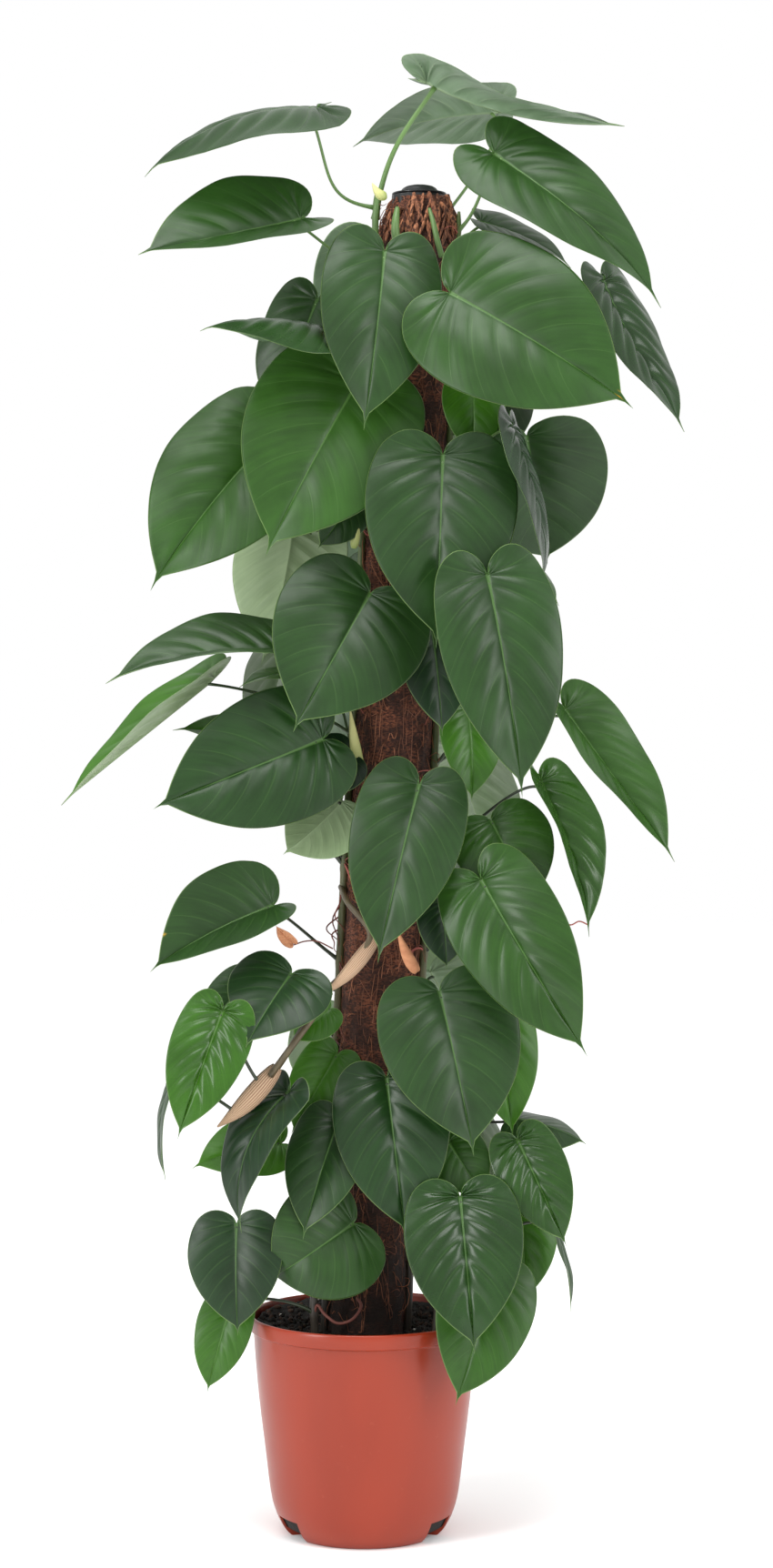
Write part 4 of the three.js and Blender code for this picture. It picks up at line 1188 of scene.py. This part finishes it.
def stem(skin, at, top, nodes):
    """A tube up the route that thins by three tenths near its top and closes there to a round end. It swells
    by a bell curve at each node's height, and it is greener higher up."""
    up = np.arange(STEM_FOOT, top, STEM_STEP)
    radius = STEM_RADIUS * (1 - 0.3 * ((up - up[0]) / (top - up[0])) ** 3)
    radius = radius * np.clip((top - up) / 16, 0.05, 1) ** 0.5
    swelling = np.exp(-(((up[:, None] - np.array(nodes)) / 6) ** 2)).sum(axis=1)
    radius = radius * (0.93 + 0.2 * np.clip(swelling, 0, 1) + 0.06 * noise(up / 11, 0 * up, seed=9))
    tube(skin, at(up), radius, STEM_SIDES, look=3, tint=capped((up - GREEN_FROM) / GREEN_SPAN))


print("stem radius:", STEM_RADIUS)

# %% Roots and sheaths
ROOTS_PER_NODE = 3
ROOT_SIDES = 6
ROOT_STEPS = 12
LOOSE_ROOT_STEPS = 16
SHEATH_STEPS = 24
SHEATH_SAG = 5


def roots(skin, at, nodes, seed):
    """From each node a few roots go round the sleeve and down, in a slight wave, thinner to their ends and
    close to its surface."""
    draw = np.random.default_rng(seed)
    part = np.linspace(0, 1, ROOT_STEPS)
    for up in nodes:
        for _ in range(ROOTS_PER_NODE):
            foot = at(up) - pole_axis(up)
            start = np.arctan2(foot[1], foot[0])
            turn = start + draw.choice([-1, 1]) * draw.uniform(0.25, 1.0) * part**0.8
            height = up - draw.uniform(-8, 34) * part + 3 * np.sin(5 * part + up)
            radius = COIR_RADIUS + 3.2 - 2.6 * part + draw.uniform(0, 2) * np.sin(np.pi * part)
            path = pole_axis(height) + radius[:, None] * circle(turn)
            thickness = draw.uniform(0.7, 1.1) * (1.1 - 0.8 * part)
            tube(skin, path, thickness, ROOT_SIDES, look=4, tint=draw.uniform(0, 1))


def loose_roots(skin, at, nodes, seed):
    """Thin roots that found no hold: each leaves its node outward, hangs in a bow and turns back at its
    end."""
    draw = np.random.default_rng(seed)
    part = np.linspace(0, 1, LOOSE_ROOT_STEPS)[:, None]
    for up in nodes:
        start = at(float(up))
        away = unit((start - pole_axis(up)) * [1, 1, 0])
        swing = np.array([draw.uniform(-0.6, 0.6), draw.uniform(-0.9, 0.1), 0])
        bow = draw.uniform(9, 17) * np.sin(np.pi * part**0.8) * unit(away + swing)
        path = start + bow - draw.uniform(28, 62) * part * UP + 2.5 * np.sin(9 * part + up) * away
        thickness = 0.9 * (1.15 - 0.7 * part[:, 0])
        tube(skin, path, thickness, ROOT_SIDES, look=4, tint=draw.uniform(0, 0.5))


def sheath(skin, foot, point, radius, look=5):
    """A papery spindle, flatter than it is wide: it sags by a sine, is widest at a third of its way and
    narrows to its point by the fourth power of the way. It is a closed shape."""
    start, end = place(*foot), place(*point)
    part = np.linspace(0, 1, SHEATH_STEPS)
    path = start + (end - start) * part[:, None] - SHEATH_SAG * np.sin(np.pi * part)[:, None] * UP
    swell = radius * (0.55 + 0.5 * np.sin(np.pi * part**0.7)) * (1 - part**4 * 0.85)
    tube(skin, path, swell, 18, flat=0.75, look=look, tint=capped(part))


def cord(skin, spots, radius, sides, steps, **marks):
    """A tube on a smooth path through the given spots."""
    tube(skin, smooth_path(places(spots), steps), radius, sides, **marks)


print("roots at each node:", ROOTS_PER_NODE)

# %% [markdown]
# ## Leaf finishes
# The upper face is a deep green wax: a little gloss, a paler midrib and veins, faint streaks between them and
# a thin pale margin. Strongly quilted leaves are glossier too. The marks on the mesh say how far each point
# lies from a vein, from the rib and from the margin, so the lines keep one width on every leaf. The lower
# face is paler and dull.

# %% Leaf finishes
GLOSSIER = 0.12


def leaf_finish(name, greens, line, side_veins, roughness, depth):
    """The green by tint, from old to young, with fine streaks along the veins. Paler lines lie where the
    marks are near nothing. The veins and the streaks are bumps too."""
    made = Finish(name)
    tint = made.mark("tint")
    old, grown, young = greens
    green = made.blend(made.spread(tint, 0.35, 1), made.blend(made.spread(tint, 0, 0.35), old, grown), young)
    crosswise = made.math("MULTIPLY", made.mark("round"), 5.0)
    lengthwise = made.math("MULTIPLY", made.mark("along"), 1.3)
    where = made.node("ShaderNodeCombineXYZ", {"X": crosswise, "Y": lengthwise})
    streak = made.node("ShaderNodeTexNoise", {"Vector": where, "Scale": 1.0, "Detail": 3.0})
    cloud = made.math("MULTIPLY", made.spots(16, detail=4), 0.6)
    cloud = made.math("ADD", cloud, made.math("MULTIPLY", streak, 0.4))
    shade = made.blend(made.spread(cloud, 0.3, 0.7), srgb(70, 70, 70), srgb(186, 186, 186))
    shaded = made.blend(0.5, green, shade, how="SOFT_LIGHT")
    vein = made.math("MULTIPLY", made.spread(made.mark("vein"), 0.2, 1.5, 1, 0), side_veins)
    rib = made.math("MULTIPLY", made.spread(made.mark("rib"), 0.4, 1.5, 1, 0), 0.5)
    veined = made.blend(made.math("MAXIMUM", vein, rib), shaded, line)
    margin = made.math("MULTIPLY", made.spread(made.mark("edge"), 0.2, 1.1, 1, 0), 0.6)
    rimmed = made.blend(margin, veined, srgb(118, 146, 84))
    spot = made.spread(made.mark("spot"), 0.35, 0.75)
    made.set(Base_Color=made.blend(spot, rimmed, srgb(206, 158, 44)))
    made.set(Normal=made.bump(made.math("MAXIMUM", vein, rib), -depth, 1.0, made.bump(streak, 0.00035, 0.3)))
    waxed = made.spread(made.mark("gloss"), 0, 1, roughness, roughness - GLOSSIER)
    made.set(Roughness=made.math("ADD", waxed, made.spread(made.spots(45, detail=5), 0.3, 0.75, -0.04, 0.05)))
    return made


UPPER_GREENS = [srgb(19, 46, 19), srgb(31, 60, 21), srgb(56, 104, 16)]
LOWER_GREENS = [srgb(76, 98, 70), srgb(106, 130, 100), srgb(140, 160, 120)]
upper = leaf_finish("leaf_upper_face", UPPER_GREENS, srgb(84, 120, 60), 0.12, 0.38, 0.0003)
upper.surface.inputs["Specular IOR Level"].default_value = 0.3
lower = leaf_finish("leaf_lower_face", LOWER_GREENS, srgb(138, 158, 118), 0.3, 0.5, -0.0004)
print("leaf finishes:", upper.material.name, "and", lower.material.name)

# %% Finishes of stalks, stems, roots and dry parts
stalk_finish = Finish("leaf_stalk", Roughness=0.42)
greening = stalk_finish.blend(stalk_finish.mark("tint"), srgb(30, 38, 24), srgb(88, 120, 62))
stalk_finish.set(Base_Color=greening)

stem_finish = Finish("stem_skin", Roughness=0.5)
bark_shade = stem_finish.blend(stem_finish.mark("tint"), srgb(72, 62, 42), srgb(78, 104, 50))
streak = stem_finish.spread(stem_finish.spots(120, detail=6, stretch=(1, 1, 0.25)), 0.4, 0.75, 0, 0.7)
streaked = stem_finish.blend(streak, bark_shade, srgb(96, 84, 58))
# Painted shade: towards the soil the stems are darkened, as the felt is.
stem_finish.set(Base_Color=stem_finish.blend(stem_finish.low(), streaked, srgb(26, 22, 16)))
stem_finish.set(Normal=stem_finish.bump(stem_finish.spots(300, detail=4, stretch=(1, 1, 0.2)), 0.0006, 0.6))

root_finish = Finish("air_root", Roughness=0.7)
reddening = root_finish.blend(root_finish.mark("tint"), srgb(74, 36, 25), srgb(170, 88, 78))
root_finish.set(Base_Color=reddening)

papery = Finish("dry_sheath", Roughness=0.65)
round_it = papery.node("ShaderNodeCombineXYZ", {"X": papery.mark("round")})
pleat = papery.node("ShaderNodeTexWave", {"Vector": round_it, "Scale": 8.0, "Distortion": 0.6})
ageing = papery.blend(papery.mark("tint"), srgb(122, 84, 62), srgb(186, 148, 116))
papery.set(Base_Color=papery.blend(pleat, ageing, srgb(198, 170, 140)))
papery.set(Normal=papery.bump(pleat, 0.0006, 0.8))

green_sheath = Finish("fresh_sheath", Roughness=0.5)
paling = green_sheath.blend(green_sheath.mark("tint"), srgb(132, 148, 74), srgb(206, 200, 138))
green_sheath.set(Base_Color=paling)

dry_leaf = Finish("dry_leaf", Roughness=0.8)
dry_leaf.set(Base_Color=dry_leaf.blend(dry_leaf.spots(160, detail=5), srgb(164, 98, 66), srgb(220, 160, 118)))

FOLIAGE = [upper, lower, stalk_finish, stem_finish, root_finish, papery, green_sheath, dry_leaf]
print("foliage finishes:", len(FOLIAGE))

# %% [markdown]
# ## Growing the stems
# Each leafy stem is one piece: its stem, roots, stalks and blades, in place of one solid. The side shoot and
# its sheaths belong to the left stem, from which they grow, and so do the three cut stalks that stand on the
# pole's top. Every leaf could be an object of its own, but one mesh for each solid is simpler.
# Every stem grows by the same steps, and what only one stem has is added at the end.

# %% Leaves on their stems
TO_VIEWER = np.array([0.0, -1.0, 0.0])
BRIGHT_FROM = 700
BRIGHT_SPAN = 700


def stalk_tint(up):
    """Young stalks near the top are bright, and old ones low down are dark."""
    return float(np.clip((up - BRIGHT_FROM) / BRIGHT_SPAN, 0.05, 1))


def grow(skin, leaf, base, tint, quilt, spot=None):
    """A leaf and its stalk."""
    for side in (1, -1):
        half_blade(skin, leaf, side, tint, quilt, spot=spot)
    petiole(skin, leaf, base, stalk_tint(base[2]))


def grow_rows(skin, name, at):
    """Every shown leaf of one stem, and the heights of their nodes."""
    for index, (notch, tip, width, turn, base, shape, tint, quilt) in enumerate(SHOWN[name]):
        leaf = make_leaf(place(*notch), place(*tip), width, turn, TO_VIEWER, shape, index)
        grow(skin, leaf, at(float(base)), tint, quilt, YELLOW_SPOTS.get((name, index)))
    return [row[4] for row in SHOWN[name]]


def grow_back(skin, name, at):
    """The leaves that the rule gives to one stem, with tint and quilt by chance, and their nodes' heights."""
    own = {index: (leaf, base) for index, (owner, leaf, base) in BACK.items() if owner == name}
    for index, (leaf, base) in own.items():
        grow(skin, leaf, at(base), 0.15 + 0.6 * chance(index, 7), 0.8 + 0.8 * chance(index, 8))
    return [base for leaf, base in own.values()]


print("leaves with a yellow spot:", len(YELLOW_SPOTS))


# %% What only one stem has
def hanging_shoot(skin):
    """The side shoot: a thin stem that hangs forward and left, with its leaves."""
    route = smooth_path(places(HANGING), 120)
    tube(skin, along(route, 60), 0.75 * STEM_RADIUS, STEM_SIDES, look=3, tint=0.0)
    grow_rows(skin, "hanging_shoot", routed(HANGING))


def left_trim(skin, at):
    """The side shoot, sheaths old and fresh, cut stalks at the top, loose roots and a dried leaf."""
    hanging_shoot(skin)
    for spot in SHEATHS:
        sheath(skin, *spot)
    for spot in NODE_SHEATHS:
        sheath(skin, *spot, look=6)
    sheath(skin, *BRACT, look=7)
    part = np.linspace(0, 1, 24)
    for spots, thickness in TOP_STALKS:
        cord(skin, spots, thickness * (1 - 0.5 * part**4), 12, 24, look=2, tint=0.8)
    cord(skin, FRONT_STEM, 0.8 * STEM_RADIUS, STEM_SIDES, 24, look=3, tint=0.0)
    loose_roots(skin, at, LOOSE_ROOT_NODES, seed=31)
    cord(skin, DRY_STALK, 0.8, ROOT_SIDES, 16, look=4, tint=0.2)
    notch, tip, width = DRY_LEAF
    dry = make_leaf(place(*notch), place(*tip), width, 20, TO_VIEWER, {"fold": 0.6}, 3)
    for side in (1, -1):
        half_blade(skin, dry, side, 0.5, 4.0, looks=(7, 7))


def right_trim(skin, at):
    """A young pink root in the air."""
    cord(skin, YOUNG_ROOT, 0.8, ROOT_SIDES, 16, look=4, tint=1.0)


def shoot_trim(skin, at):
    """A stout root that arches out of the soil and back."""
    cord(skin, SOIL_ROOT, 1.7, 8, 40, look=4, tint=0.1)


TRIM = {"vine_left": left_trim, "vine_right": right_trim, "shoot_left": shoot_trim}
print("stems with trim of their own:", len(TRIM))

# %% Leafy stems
for number, (name, (at, top)) in enumerate(STEMS.items()):
    skin = Skin()
    nodes = grow_rows(skin, name, at) + grow_back(skin, name, at)
    stem(skin, at, top, nodes)
    if name.startswith("vine"):
        roots(skin, at, nodes, seed=20 + number)
    if name in TRIM:
        TRIM[name](skin, at)
    settle(skin.piece(f"leafy_{name}", FOLIAGE), "foliage", name)

# %% [markdown]
# ## The floor
# The floor is a plain pale sheet that only catches the shadow.

# %% Floor and finish
FLOOR_REACH = 9000.0
floor_skin = Skin()
across = np.linspace(-FLOOR_REACH, FLOOR_REACH, 3)
floor_skin.add(np.stack([*np.meshgrid(across, across, indexing="ij"), np.zeros((3, 3))], axis=-1))
floor = floor_skin.piece("floor", [floor_finish])
